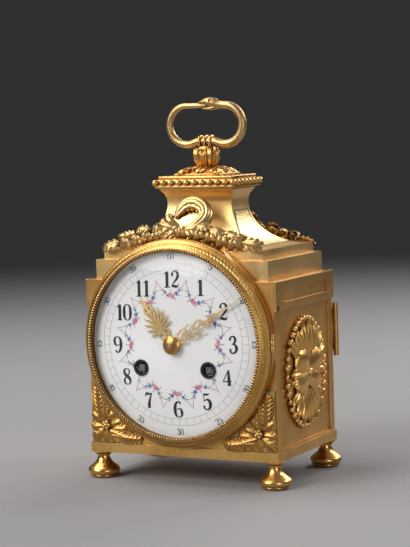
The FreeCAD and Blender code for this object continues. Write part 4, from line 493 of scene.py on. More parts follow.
# what the other leaves have unless they say otherwise: one smooth lobe with one vein
plainLeaf = {
    "lobes": 1, "notch": 0.0, "sweep": 0.0, "flute": 0.0, "flutePower": 1, "veins": 1, "scallop": 0.0,
    "ruffle": 0.0, "thick": 1.0,
}
sprayLeaf = {
    **plainLeaf, "length": 12.0, "width": 7.6, "along": 48, "across": 24, "lobes": 3, "notch": 0.20,
    "sweep": 0.2, "flute": 0.42, "flutePower": 1.6, "veinDepth": 0.12, "rib": 0.55, "cup": 1.5, "ruffle": 0.2,
    "root": 0.55, "belly": 0.9, "blunt": 2.6, "headings": (18, 8, -8, -40),
}
slimLeaf = {
    **plainLeaf, "length": 20.0, "width": 8.4, "along": 84, "across": 20, "lobes": 8, "notch": 0.30,
    "sweep": 0.24, "flute": 0.55, "veinDepth": 0.2, "rib": 0.6, "cup": 1.2, "ruffle": 0.25, "root": 0.5,
    "belly": 0.8, "blunt": 1.8, "thick": 0.9, "headings": (14, 6, -4, -22),
}
acanthusLeaf = {
    **plainLeaf, "length": 18.0, "width": 11.5, "along": 56, "across": 24, "lobes": 4, "notch": 0.36,
    "sweep": 0.24, "flute": 0.75, "veinDepth": 0.25, "rib": 0.7, "cup": 1.7, "ruffle": 0.3, "root": 0.45,
    "belly": 0.95, "blunt": 2.2, "headings": (20, 8, -8, -36),
}
uprightLeaf = {
    **plainLeaf, "length": 11.8, "width": 6.0, "along": 28, "across": 20, "veinDepth": 0.30, "scallop": 0.05,
    "rib": 0.5, "cup": 2.3, "root": 0.5, "belly": 1.35, "blunt": 2.3, "headings": (44, 30, 4, -40),
}
longLobe = {
    **plainLeaf, "length": 18.0, "width": 6.6, "along": 30, "across": 18, "veins": 1.5, "veinDepth": 0.42,
    "scallop": 0.08, "rib": 0.2, "cup": 1.1, "root": 0.4, "belly": 1.6, "blunt": 3.0,
    "headings": (26, 10, -4, -34),
}
broadPetal = {
    **plainLeaf, "length": 18.5, "width": 13.5, "along": 36, "across": 28, "sweep": 0.05, "veinDepth": 0.12,
    "scallop": 0.03, "rib": -0.25, "cup": 2.4, "root": 0.60, "belly": 1.25, "blunt": 2.6, "thick": 1.2,
    "headings": (30, 18, 4, -16, -52),
}
spineSteps = 200
leafSmoothing = 60


def leafSpine(headings, length, steps):
    # the leaf's middle line: it climbs or falls by the headings, in degrees, spread evenly along it
    places = []
    spot = Vector((0, 0, 0))
    for i in range(steps + 1):
        angle = math.radians(readOff(headings, i / steps))
        places.append((spot.copy(), angle))
        spot += Vector((math.cos(angle), 0, math.sin(angle))) * length / steps
    return places


def castLeaf(leaf):
    piece = newSheet(leaf["along"], leaf["across"])
    spine = leafSpine(leaf["headings"], leaf["length"], spineSteps)
    for corner in piece.data.vertices:
        u = (corner.co.x + 1) / 2
        v = corner.co.y
        side = abs(v)
        wave = math.cos(2 * math.pi * leaf["lobes"] * u)
        vein = math.cos(2 * math.pi * leaf["veins"] * v)
        outline = max(0.0, 1 - abs(2 * u ** leaf["belly"] - 1) ** leaf["blunt"]) ** (1 / leaf["blunt"])
        if u ** leaf["belly"] < 0.5:
            outline = leaf["root"] + (1 - leaf["root"]) * outline
        edge = side - leaf["notch"] * side ** 4 * (0.5 + 0.5 * wave) ** 2
        across = leaf["width"] / 2 * outline * edge * (1 if v > 0 else -1)
        reach = u + leaf["sweep"] * outline * side ** 1.5 * (1 - u * 0.6)
        reach *= 1 - leaf["scallop"] * (0.5 - 0.5 * vein)
        spot, angle = spine[int(min(1.0, max(0.0, reach)) * spineSteps)]
        height = -leaf["flute"] * side ** leaf["flutePower"] * outline * wave
        height += leaf["rib"] * math.exp(-(v / 0.16) ** 2) * (1 - u * 0.6)
        height += leaf["veinDepth"] * vein * (0.3 + 0.7 * u) * outline
        height -= leaf["cup"] * v * v * outline
        height -= leaf["ruffle"] * side ** 3 * math.sin(2 * math.pi * leaf["lobes"] * u)
        lift = Vector((-math.sin(angle), 0, math.cos(angle)))
        corner.co = (spot + lift * height + Vector((0, across, 0))) * mm
    thickened(piece, leaf["thick"], -1)
    tidyMesh(piece, leafSmoothing)
    return piece


def castFan(leaf):
    piece = newSheet(leaf["along"], leaf["across"])
    for corner in piece.data.vertices:
        u = 0.04 + 0.96 * (corner.co.x + 1) / 2
        v = corner.co.y
        lobe = 0.5 + 0.5 * math.cos(math.pi * leaf["lobes"] * v)
        tooth = 0.5 + 0.5 * math.cos(math.pi * leaf["teeth"] * v)
        cut = leaf["notch"] * (1 - lobe) ** 1.6 * u * u + leaf["bite"] * (1 - tooth) * u ** 4
        reach = leaf["length"] * u * (1 - leaf["shorter"] * v * v) * (1 - cut)
        turn = math.radians(leaf["spread"] * v)
        height = leaf["dome"] * math.sin(math.pi * u ** 0.8) - leaf["droop"] * u ** 3
        height += leaf["flute"] * (2 * lobe - 1) * u + leaf["crease"] * (2 * tooth - 1) * u * u
        height += leaf["vein"] * lobe ** 16 * (1 - 0.7 * u)
        corner.co = Vector((reach * math.cos(turn), reach * math.sin(turn), height)) * mm
    thickened(piece, leaf["thick"], -1)
    tidyMesh(piece, leafSmoothing)
    return piece


leafVine = castFan(vineLeaf)
leafSpray = castLeaf(sprayLeaf)
leafSlim = castLeaf(slimLeaf)
leafAcanthus = castLeaf(acanthusLeaf)
leafUpright = castLeaf(uprightLeaf)
lobeLong = castLeaf(longLobe)
petalBroad = castLeaf(broadPetal)


def roundBead(radius, segments=12, rings=8):
    # a cast bead: a ball drawn slightly flat, so that it sits on its plate
    clearSelection()
    bpy.ops.mesh.primitive_uv_sphere_add(segments=segments, ring_count=rings, radius=radius * mm)
    bead = stretched((1.0, 1.0, 0.86))
    bpy.ops.object.shade_smooth()
    return bead


pearl = roundBead(1.0)
print("leaf, petal and bead patterns cast")

# garland over the arch: two leaf sprays and a curled leaf that leans back on the roof
garland = {
    "face": (0, -0.86, 0.50), "depth": -33.8, "lean": 0.12, "overlap": 0.03,
    # root x and z on the right spray, tilt in degrees from level, length, pattern; mirrored for the left
    "sprays": [
        (35.4, 124.6, -14, 12.2, "end"), (31.0, 126.8, -50, 7.6, "vine"), (24.8, 128.4, -48, 8.2, "vine"),
        (26.5, 129.0, -16, 8.4, "end"), (18.2, 130.0, -54, 8.6, "vine"), (17.0, 131.4, -10, 9.0, "end"),
        (11.4, 131.2, -52, 8.0, "vine"), (8.0, 132.6, -2, 9.0, "end"), (5.0, 131.8, -62, 6.8, "vine"),
    ],
    # how far a leaf may be turned out of its row, tilted and resized; how much lower the rear leaves lie
    "roll": 0.35, "sway": 9, "sizes": (0.94, 1.08), "rearDrop": 3.2,
    "leanFrom": 128, "centre": (132.6, 8.0), "centreForward": 0.6, "footForward": 0.4, "curlThick": 0.9,
    # the curled leaf's middle line, half thickness along it, and the middle of its curl
    "scroll": [(-3.0, -32.6, 128.6), (4.0, -33.0, 130.2), (8.6, -32.0, 131.6), (11.0, -29.0, 133.8),
               (11.9, -25.5, 136.8), (9.6, -22.2, 140.4), (5.4, -20.8, 142.8), (0.8, -20.9, 143.0),
               (-2.8, -22.6, 141.0), (-4.7, -24.6, 138.0), (-5.2, -25.8, 136.2)],
    "scrollHalf": (0.4, 1.9, 2.5, 2.7, 2.8, 2.9, 3.2, 3.5, 3.3, 2.4, 0.6),
    "scrollMiddle": (3.4, -25.2, 136.8), "scrollRibs": 7, "scrollWrap": 158,
    "bud": [(-1.0, -32.0, 132.4), (-4.4, -32.6, 134.4), (-7.6, -31.4, 136.0), (-6.6, -30.6, 137.8),
            (-4.6, -31.2, 137.2)],
    "budHalf": (0.4, 1.5, 1.6, 1.3, 0.3), "budMiddle": (-5.6, -31.5, 136.4), "budRibs": 3, "budWrap": 168,
    # broad leaves at the foot of the curl: root x and z, heading, length
    "foot": [(1.0, 130.6, 166, 15.0), (-1.0, 129.4, 186, 11.0), (2.0, 130.4, 8, 11.0)],
}


def smoothLine(points, count):
    # a NURBS line led by the run of points, read back as evenly placed spots
    curve = bpy.data.curves.new("line", "CURVE")
    curve.dimensions = "3D"
    spline = curve.splines.new("NURBS")
    spline.points.add(len(points) - 1)
    for knot, point in zip(spline.points, points):
        knot.co = (*point, 1)
    spline.order_u = 4
    spline.use_endpoint_u = True
    spline.resolution_u = count
    holder = bpy.data.objects.new("line", curve)
    line = bpy.data.meshes.new_from_object(holder)
    spots = [vertex.co.copy() for vertex in line.vertices]
    bpy.data.objects.remove(holder)
    bpy.data.meshes.remove(line)
    return spots


def sweptLeaf(points, halves, middle, ribs, thick, wrap):
    # a long ribbed leaf rolled into a gutter along a line, its back away from the middle of its curl
    spots = smoothLine(points, 8)
    last = len(spots) - 1
    piece = newSheet(last, 6 * ribs)
    for corner in piece.data.vertices:
        i = stepOf(corner.co.x, last)
        v = corner.co.y
        ahead = (spots[min(i + 1, last)] - spots[max(i - 1, 0)]).normalized()
        half = readOff(halves, i / last)
        out = spots[i] - Vector(middle)
        out = (out - ahead * out.dot(ahead)).normalized()
        aside = ahead.cross(out)
        scallop = 1 + 0.05 * math.cos(2 * math.pi * i / 9) * abs(v) ** 3
        turn = math.radians(wrap * v * scallop)
        bulge = half * (1 + 0.11 * math.cos(2 * math.pi * ribs * v / 2))
        corner.co = (spots[i] + (aside * math.sin(turn) + out * math.cos(turn)) * bulge) * mm
    thickened(piece, thick, -1)
    tidyMesh(piece, leafSmoothing)
    return piece


def garlandDepth(z):
    return garland["depth"] + garland["lean"] * (z - garland["leanFrom"])


def makeGarland(name, back, node):
    face = Vector(garland["face"])
    patterns = {"vine": (leafVine, vineLeaf["length"]), "end": (leafSpray, sprayLeaf["length"])}
    pieces = []
    for side in (-1, 1):
        for x, z, tilt, length, kind in garland["sprays"]:
            z -= garland["rearDrop"] * back
            pattern, natural = patterns[kind]
            angle = math.radians(tilt + random.uniform(-garland["sway"], garland["sway"]))
            root = (side * x, garlandDepth(z) + garland["overlap"] * x, z)
            along = (side * math.cos(angle), garland["lean"] * math.sin(angle), math.sin(angle))
            look = face + Vector((random.uniform(-1, 1), 0, random.uniform(-1, 1))) * garland["roll"]
            size = length / natural * random.uniform(*garland["sizes"])
            pieces.append(placed(pattern, root, along, look, size))
    z, length = garland["centre"]
    root = (0, garlandDepth(z) - garland["centreForward"], z)
    pieces.append(placed(leafVine, root, (0, -garland["lean"], -1), face, length / vineLeaf["length"]))
    for x, z, heading, length in garland["foot"]:
        angle = math.radians(heading)
        root = (x, garlandDepth(z) - garland["footForward"], z)
        along = (math.cos(angle), garland["lean"] * math.sin(angle), math.sin(angle))
        pieces.append(placed(leafSpray, root, along, face, length / sprayLeaf["length"]))
    for part in ("scroll", "bud"):
        pieces.append(sweptLeaf(garland[part], garland[part + "Half"], garland[part + "Middle"],
                                garland[part + "Ribs"], garland["curlThick"], garland[part + "Wrap"]))
    piece = gathered(pieces)
    if back:
        take(piece)
        editAll()
        bpy.ops.transform.rotate(value=math.pi, orient_axis="Z", center_override=(0, 0, 0))
        leaveEdit()
    return finished(piece, name, giltMatte, "case", [node])


makeGarland("garlandFront", False, "front_garland")
makeGarland("garlandRear", True, "rear_garland")
print("garlands laid")

# bezel: the ring keeps its node's shape; a rope of small ribs and an engine-turned band go on it
bezelTrim = {
    "centre": 72.8, "ropeCount": 212, "ropeRadius": 48.6, "ropeFace": -45.0, "rib": (2.2, 0.92, 1.5),
    "ribTwist": 0.22, "grooveSteps": 120,
    # the band lies on the bezel's slope: radius and depth at its inner and outer edge
    "bandInside": (50.55, -44.12), "bandOutside": (53.2, -39.95), "teeth": 150, "columns": 6, "rows": 16,
    "zigzags": 2, "ridge": 0.42, "bandLift": 0.04, "bandFade": 6, "bandSmoothing": 14,
    "groove": [(47.62, -44.55), (48.2, -45.0), (48.6, -45.06), (49.1, -45.06), (49.2, -44.8), (49.2, -44.4),
               (47.62, -44.2), (47.62, -44.55)],
}


def aroundDial(angle, radius, y):
    return (radius * math.cos(angle), y, bezelTrim["centre"] + radius * math.sin(angle))


def makeRope():
    clearSelection()
    bpy.ops.mesh.primitive_uv_sphere_add(segments=8, ring_count=5, radius=0.5 * mm)
    rib = stretched(bezelTrim["rib"])
    bpy.ops.object.shade_smooth()
    ribs = []
    for i in range(bezelTrim["ropeCount"]):
        angle = 2 * math.pi * i / bezelTrim["ropeCount"]
        out = Vector((math.cos(angle), 0, math.sin(angle)))
        onward = Vector((-math.sin(angle), 0, math.cos(angle)))
        spot = aroundDial(angle, bezelTrim["ropeRadius"], bezelTrim["ropeFace"])
        ribs.append(placed(rib, spot, out + onward * bezelTrim["ribTwist"], (0, -1, 0)))
    dropPatterns(rib)
    groove = turned(bezelTrim["groove"], bezelTrim["grooveSteps"], "Y", (0, 0, bezelTrim["centre"]))
    # a dark ring behind the rope's ribs: painted shade in its groove
    finished(groove, "ropeGroove", grooveShadePaint, "bezel_leaf")
    finished(gathered(ribs), "bezelRope", giltBurnished, "bezel_leaf")


def makeTurnedBand():
    # zigzag ridges cut round the slope of the bezel
    columns = bezelTrim["teeth"] * bezelTrim["columns"]
    inner, front = bezelTrim["bandInside"]
    outer, back = bezelTrim["bandOutside"]
    band = newSheet(columns, bezelTrim["rows"])
    slope = Vector((back - front, outer - inner)).normalized()
    for corner in band.data.vertices:
        i = stepOf(corner.co.x, columns)
        share = (corner.co.y + 1) / 2
        zigzag = abs((share * bezelTrim["zigzags"]) % 1.0 - 0.5) * 2
        phase = (i / bezelTrim["columns"] + zigzag) % 1.0
        edge = min(1.0, bezelTrim["bandFade"] * share, bezelTrim["bandFade"] * (1 - share))
        lift = bezelTrim["ridge"] * (1 - abs(2 * phase - 1)) * edge + bezelTrim["bandLift"]
        radius = inner + (outer - inner) * share + slope.x * lift
        depth = front + (back - front) * share - slope.y * lift
        corner.co = Vector(aroundDial(2 * math.pi * i / columns, radius, depth)) * mm
    tidyMesh(band, bezelTrim["bandSmoothing"])
    finished(band, "bezelBand", giltEngraved, "bezel_leaf")


softEdged("bezel", giltSatin, "bezel_leaf", 0.25)
makeRope()
makeTurnedBand()
print("bezel trimmed")

# painting on the dial; every shape is a pen stroke: points of x, y and half the stroke's width
dialFace = {
    "centre": 72.8, "front": -43.3, "crown": 3.0, "radius": 48.3, "numerals": 33.4, "numeralHeight": 8.1,
    "minutes": 45.1, "minuteHeight": 3.1, "trackInside": 38.4, "trackOutside": 41.9, "trackHalf": 0.10,
    "weight": 1.22, "turn": 1.6, "numeralLift": 0.03, "trackLift": 0.02,
    # as shares of a digit's height: from digit to digit, a digit's width, from digit to digit of a minute
    "digitStep": 0.56, "digitWidth": 0.54, "minuteStep": 0.62,
}
digitStrokes = {
    "0": [[(0.28, 1.0, 0.02), (0.06, 0.98, 0.05), (0.02, 0.5, 0.12), (0.06, 0.02, 0.05), (0.28, 0.0, 0.02)],
          [(0.28, 1.0, 0.02), (0.5, 0.98, 0.05), (0.54, 0.5, 0.12), (0.5, 0.02, 0.05), (0.28, 0.0, 0.02)]],
    "1": [[(0.27, 1.0, 0.085), (0.27, 0.66, 0.085), (0.27, 0.33, 0.085), (0.27, 0.0, 0.085)],
          [(0.27, 0.98, 0.05), (0.18, 0.88, 0.03), (0.06, 0.84, 0.015)],
          [(0.06, 0.015, 0.018), (0.27, 0.03, 0.05), (0.48, 0.015, 0.018)]],
    "2": [[(0.06, 0.72, 0.055), (0.10, 0.8, 0.075), (0.04, 0.92, 0.03), (0.22, 1.04, 0.03), (0.44, 1.0, 0.06),
           (0.50, 0.74, 0.085), (0.40, 0.48, 0.06), (0.14, 0.26, 0.03), (0.04, 0.06, 0.025)],
          [(0.04, 0.06, 0.04), (0.18, 0.10, 0.07), (0.34, 0.03, 0.085), (0.48, 0.04, 0.04),
           (0.52, 0.22, 0.015)]],
    "3": [[(0.05, 0.78, 0.06), (0.10, 0.86, 0.07), (0.08, 1.0, 0.025), (0.38, 1.06, 0.05),
           (0.46, 0.76, 0.085), (0.34, 0.56, 0.04), (0.18, 0.53, 0.02)],
          [(0.18, 0.53, 0.02), (0.40, 0.56, 0.05), (0.54, 0.3, 0.10), (0.40, -0.04, 0.05),
           (0.08, -0.04, 0.025), (0.06, 0.16, 0.07), (0.09, 0.24, 0.06)]],
    "4": [[(0.40, 1.0, 0.03), (0.28, 0.76, 0.025), (0.12, 0.5, 0.025), (0.0, 0.27, 0.022)],
          [(0.0, 0.27, 0.028), (0.2, 0.27, 0.028), (0.4, 0.27, 0.028), (0.56, 0.27, 0.028)],
          [(0.40, 1.0, 0.03), (0.40, 0.7, 0.085), (0.40, 0.3, 0.085), (0.40, 0.0, 0.085)],
          [(0.26, 0.015, 0.018), (0.40, 0.025, 0.04), (0.54, 0.015, 0.018)]],
    "5": [[(0.10, 0.96, 0.05), (0.24, 0.92, 0.06), (0.38, 0.93, 0.06), (0.47, 1.0, 0.02)],
          [(0.10, 0.98, 0.02), (0.09, 0.76, 0.02), (0.08, 0.5, 0.018)],
          [(0.08, 0.5, 0.018), (0.24, 0.66, 0.035), (0.48, 0.6, 0.085), (0.54, 0.28, 0.10),
           (0.42, -0.04, 0.05), (0.10, -0.03, 0.025), (0.05, 0.16, 0.065), (0.10, 0.23, 0.055)]],
    "6": [[(0.44, 0.86, 0.06), (0.47, 0.98, 0.035), (0.30, 1.05, 0.03), (0.08, 0.86, 0.08), (0.02, 0.4, 0.10),
           (0.08, 0.04, 0.06), (0.28, 0.0, 0.02)],
          [(0.28, 0.0, 0.02), (0.50, 0.02, 0.05), (0.55, 0.3, 0.095), (0.48, 0.58, 0.05), (0.28, 0.58, 0.02),
           (0.12, 0.46, 0.02)]],
    "7": [[(0.04, 0.74, 0.02), (0.06, 0.94, 0.06), (0.20, 0.98, 0.085), (0.36, 0.86, 0.05),
           (0.52, 0.98, 0.02)],
          [(0.52, 0.98, 0.02), (0.36, 0.66, 0.05), (0.24, 0.38, 0.10), (0.24, 0.0, 0.085)]],
    "8": [[(0.28, 1.0, 0.02), (0.08, 1.0, 0.05), (0.04, 0.74, 0.075), (0.22, 0.56, 0.09), (0.46, 0.42, 0.09),
           (0.54, 0.14, 0.06), (0.40, 0.0, 0.03), (0.27, 0.0, 0.02)],
          [(0.28, 1.0, 0.02), (0.46, 1.0, 0.04), (0.50, 0.78, 0.05), (0.34, 0.56, 0.02), (0.08, 0.40, 0.04),
           (0.02, 0.16, 0.075), (0.12, 0.0, 0.04), (0.27, 0.0, 0.02)]],
    "9": [[(0.12, 0.14, 0.06), (0.09, 0.02, 0.035), (0.26, -0.05, 0.03), (0.48, 0.14, 0.08),
           (0.54, 0.6, 0.10), (0.48, 0.96, 0.06), (0.28, 1.0, 0.02)],
          [(0.28, 1.0, 0.02), (0.06, 0.98, 0.05), (0.01, 0.7, 0.095), (0.08, 0.42, 0.05), (0.28, 0.42, 0.02),
           (0.44, 0.54, 0.02)]],
}


def penStroke(points, thick=0.05, detail=6):
    # a flat stroke drawn along a line of x, y, half width; face up Z, sizes in millimetres
    spots = smoothLine(points, detail) if len(points) > 2 else [Vector(p) for p in points]
    last = len(spots) - 1
    piece = newSheet(last, 2)
    for corner in piece.data.vertices:
        i = stepOf(corner.co.x, last)
        ahead = spots[min(i + 1, last)] - spots[max(i - 1, 0)]
        aside = Vector((-ahead.y, ahead.x, 0)).normalized()
        spot = Vector((spots[i].x, spots[i].y, 0)) + aside * spots[i].z * corner.co.y
        corner.co = spot * mm
    thickened(piece, thick, 1)
    return piece


def makeDigit(digit, height):
    pieces = []
    for stroke in digitStrokes[digit]:
        points = [(x * height, y * height, half * height * dialFace["weight"]) for x, y, half in stroke]
        pieces.append(penStroke(points, 0.05, 5))
    return gathered(pieces)


def onDial(pattern, x, z, turn=0.0, size=1.0):
    # a copy of a flat drawing, turned, with its origin at a place on the dial
    stand = Matrix.Rotation(math.pi / 2, 4, "X")
    spin = Matrix.Rotation(math.radians(turn), 4, "Z")
    place = Matrix.Translation(Vector((x, 0, dialFace["centre"] + z)) * mm)
    return copied(pattern, place @ stand @ spin @ Matrix.Scale(size, 4))


def layOnDial(piece, lift):
    # the drawing follows the crown of the dial
    for corner in piece.data.vertices:
        away = corner.co.x ** 2 + (corner.co.z - dialFace["centre"] * mm) ** 2
        sag = dialFace["crown"] * away / (dialFace["radius"] * mm) ** 2
        corner.co.y += (dialFace["front"] + sag - lift) * mm
    return piece


def painted(pieces, lift, name, finish):
    # the painting sits slightly turned in its ring
    piece = gathered(pieces)
    middle = Matrix.Translation(Vector((0, 0, dialFace["centre"])) * mm)
    turn = Matrix.Rotation(math.radians(-dialFace["turn"]), 4, "Y")
    piece.data.transform(middle @ turn @ middle.inverted())
    finished(layOnDial(piece, lift), name, finish, "case")


def makeNumerals():
    height = dialFace["numeralHeight"]
    tall = dialFace["minuteHeight"]
    big = {digit: makeDigit(digit, height) for digit in "0123456789"}
    small = {digit: makeDigit(digit, tall) for digit in "0123456"}
    hours = []
    minutes = []
    for hour in range(1, 13):
        angle = math.radians(90 - 30 * hour)
        x = dialFace["numerals"] * math.cos(angle)
        z = dialFace["numerals"] * math.sin(angle)
        word = str(hour)
        step = dialFace["digitStep"] * height
        start = -(step * (len(word) - 1) + dialFace["digitWidth"] * height) / 2
        for i, digit in enumerate(word):
            hours.append(onDial(big[digit], x + start + step * i, z - height / 2))
        # minute numbers stand on the ring, and those of the lower half are turned to be read
        word = str(hour * 5)
        turn = -30 * hour if math.sin(angle) > -0.05 else 180 - 30 * hour
        x = dialFace["minutes"] * math.cos(angle)
        z = dialFace["minutes"] * math.sin(angle)
        right = Vector((math.cos(math.radians(turn)), math.sin(math.radians(turn))))
        up = Vector((-right.y, right.x))
        wide = dialFace["minuteStep"] * tall
        for i, digit in enumerate(word):
            along = wide * (i - len(word) / 2)
            minutes.append(onDial(small[digit], x + right.x * along - up.x * tall / 2,
                                  z + right.y * along - up.y * tall / 2, turn))
    painted(hours, dialFace["numeralLift"], "hourNumerals", numeralInk)
    painted(minutes, dialFace["numeralLift"], "minuteNumerals", minuteInk)
    dropPatterns(*big.values(), *small.values())


def dialCircle(radius, half):
    points = []
    for i in range(181):
        angle = math.radians(2 * i)
        points.append((radius * math.cos(angle), radius * math.sin(angle), half))
    return penStroke(points, 0.04, 1)


def makeMinuteTrack():
    inside = dialFace["trackInside"]
    outside = dialFace["trackOutside"]
    half = dialFace["trackHalf"]
    tick = penStroke([(inside, 0, half), (outside, 0, half)], 0.04)
    lines = [onDial(tick, 0, 0, 6 * i) for i in range(60)]
    for radius in (inside, outside):
        ring = dialCircle(radius, half)
        lines.append(onDial(ring, 0, 0))
        dropPatterns(ring)
    dropPatterns(tick)
    painted(lines, dialFace["trackLift"], "minuteTrack", trackInk)


makeNumerals()
makeMinuteTrack()
print("numerals and minute track drawn")

# black collars in the winding holes
collar = {
    "places": [(-19.3, 60.4), (19.3, 60.4)], "face": -43.05, "steps": 36,
    "profile": [(4.28, 0.4), (4.28, -0.12), (3.9, -0.22), (3.3, -0.1), (3.05, 0.3), (3.0, 2.4), (2.5, 2.6),
                (2.5, 3.0), (4.1, 3.0), (4.28, 0.4)],
}

# festoons between the numerals and the middle: one is drawn and set out twelve times
festoon = {
    "radius": 24.8, "dip": 4.6, "span": 12.6,
    # angle from the middle of the swag in degrees, offset outwards, size
    "roses": [(-2.9, 0.1, 1.5), (1.7, -0.1, 1.6), (-0.6, 1.1, 0.8)],
    "blooms": [(6.2, 0.1, 1.7), (-7.6, 0.4, 1.3), (9.6, 0.1, 0.9)],
    "buds": [(-5.6, -0.7, 0.9), (4.4, 1.0, 0.8), (-10.4, 0.1, 0.6), (11.2, 0.2, 0.6)],
    # angle and offset again, then how the leaf is turned
    "leaves": [(-6.2, 1.2, 60), (-8.6, 1.0, 30), (-8.8, -0.6, 120), (-6.4, -1.2, 150), (4.2, -1.2, -150),
               (7.6, 1.2, -40), (7.8, -1.0, -110), (-10.6, 0.4, 80), (0.2, 1.9, 10), (11.4, -0.4, -70)],
    # the two ribbon ends that meet in a point between the swags: x, y on the dial, half width
    "tail": [(0.05, 34.2, 0.08), (0.35, 32.4, 0.22), (1.2, 30.4, 0.17), (3.0, 28.3, 0.08)],
    # room kept round the winding holes; how far flowers and buds may be turned; sizes of the leaves
    "holeRoom": 4.9, "flowerTurn": 70, "budTurn": 180, "leafSizes": (0.8, 1.1),
}


def flower(petals, radius, heart):
    # a painted flower: petals drawn as short strokes round a heart
    pieces = []
    for i in range(petals):
        angle = 2 * math.pi * i / petals
        points = [(heart * radius * math.cos(angle), heart * radius * math.sin(angle), 0.12 * radius),
                  (0.6 * radius * math.cos(angle), 0.6 * radius * math.sin(angle), 0.42 * radius),
                  (radius * math.cos(angle), radius * math.sin(angle), 0.10 * radius)]
        pieces.append(penStroke(points, 0.04, 3))
    return gathered(pieces)


def swagPlace(turn, offset):
    share = abs(turn) / festoon["span"]
    radius = festoon["radius"] + festoon["dip"] * share ** 1.6 + offset
    angle = math.radians(90 - turn)
    return radius * math.cos(angle), radius * math.sin(angle)


def setOut(pieces, pattern, hour, turn, offset, size, twist):
    # one flower or leaf on that hour's swag, unless it would fall into a winding hole
    spot = Matrix.Rotation(math.radians(-30 * hour), 4, "Z") @ Vector((*swagPlace(turn, offset), 0))
    for x, z in collar["places"]:
        if (Vector((x, z - dialFace["centre"])) - spot.xy).length < festoon["holeRoom"]:
            return
    pieces.append(onDial(pattern, spot.x, spot.y, twist - 30 * hour - turn, size))


def makeFestoons():
    rose = flower(5, 1.0, 0.0)
    bloom = flower(5, 0.8, 0.1)
    bud = penStroke([(-0.7, 0, 0.1), (0, 0, 0.7), (0.7, 0, 0.1)], 0.04, 3)
    sprig = penStroke([(0, 0, 0.05), (0.9, 0.25, 0.42), (2.0, 0.1, 0.03)], 0.04, 3)
    stem = penStroke([(*swagPlace(turn, 0), 0.13) for turn in range(-12, 13, 3)], 0.03, 3)
    tails = []
    for side in (-1, 1):
        tails.append(penStroke([(side * x, y, half) for x, y, half in festoon["tail"]], 0.03, 4))
    ribbon = gathered(tails)
    roses = []
    blooms = []
    leaves = []
    ribbons = []
    for hour in range(12):
        for pieces, pattern, kind, twist in ((roses, rose, "roses", festoon["flowerTurn"]),
                                             (blooms, bloom, "blooms", festoon["flowerTurn"]),
                                             (roses, bud, "buds", festoon["budTurn"])):
            for turn, offset, size in festoon[kind]:
                setOut(pieces, pattern, hour, turn, offset, size, random.uniform(0, twist))
        for turn, offset, twist in festoon["leaves"]:
            setOut(leaves, sprig, hour, turn, offset, random.uniform(*festoon["leafSizes"]), twist + 90)
        leaves.append(onDial(stem, 0, 0, -30 * hour))
        ribbons.append(onDial(ribbon, 0, 0, -30 * hour - 15))
    painted(roses, 0.05, "festoonRoses", rosePaint)
    painted(blooms, 0.04, "festoonBlooms", bluePaint)
    painted(leaves, 0.02, "festoonLeaves", leafPaint)
    painted(ribbons, 0.03, "festoonRibbons", ribbonPaint)
    dropPatterns(rose, bloom, bud, sprig, stem, ribbon)


makeFestoons()
print("festoons painted")


def makeCollars():
    profile = [(radius, collar["face"] + y) for radius, y in collar["profile"]]
    pieces = [turned(profile, collar["steps"], "Y", (x, 0, z)) for x, z in collar["places"]]
    finished(gathered(pieces), "windingCollars", holeBlack, "case")


makeCollars()
print("winding holes collared")

# pierced hands: scrolls of flat metal; the hour hand's are drawn for one side and mirrored
handEdge = 0.24
hourHand = {
    "angle": 128.0, "lift": 0.75, "thick": 0.55, "hub": (3.9, 0.9),
    "middle": [[(4.2, 0, 0.9), (7.0, 0, 0.55), (9.0, 0, 0.8)],
               [(20.0, 0, 0.6), (23.0, 0, 0.95), (26.5, 0, 0.45), (30.6, 0, 0.06)],
               [(9.0, 0, 0.8), (12.0, 0, 0.35), (16.0, 0, 0.35), (20.0, 0, 0.6)]],
    "sides": (-1, 1),
    "scrolls": [
        [(4.0, 0.6, 0.5), (6.0, 3.2, 0.42), (9.0, 3.4, 0.5), (9.4, 1.6, 0.42), (8.0, 1.5, 0.5)],
        [(9.5, 0.4, 0.4), (10.4, 3.6, 0.85), (10.2, 7.2, 0.15)],
        [(10.5, 0.5, 0.4), (12.8, 4.0, 0.85), (13.8, 7.6, 0.15)],
        [(11.5, 0.5, 0.4), (15.0, 3.6, 0.85), (17.4, 6.8, 0.15)],
        [(12.5, 0.4, 0.4), (16.8, 2.6, 0.8), (20.4, 5.0, 0.15)],
        [(14.0, 0.3, 0.4), (18.4, 1.4, 0.7), (22.6, 2.8, 0.12)],
        [(20.0, 0.3, 0.4), (22.0, 2.2, 0.5), (24.2, 2.4, 0.5), (24.8, 1.1, 0.36), (23.6, 0.9, 0.4)],
        [(24.6, 0.2, 0.35), (26.0, 1.3, 0.4), (27.4, 1.1, 0.4), (27.8, 0.3, 0.3)],
    ],
}
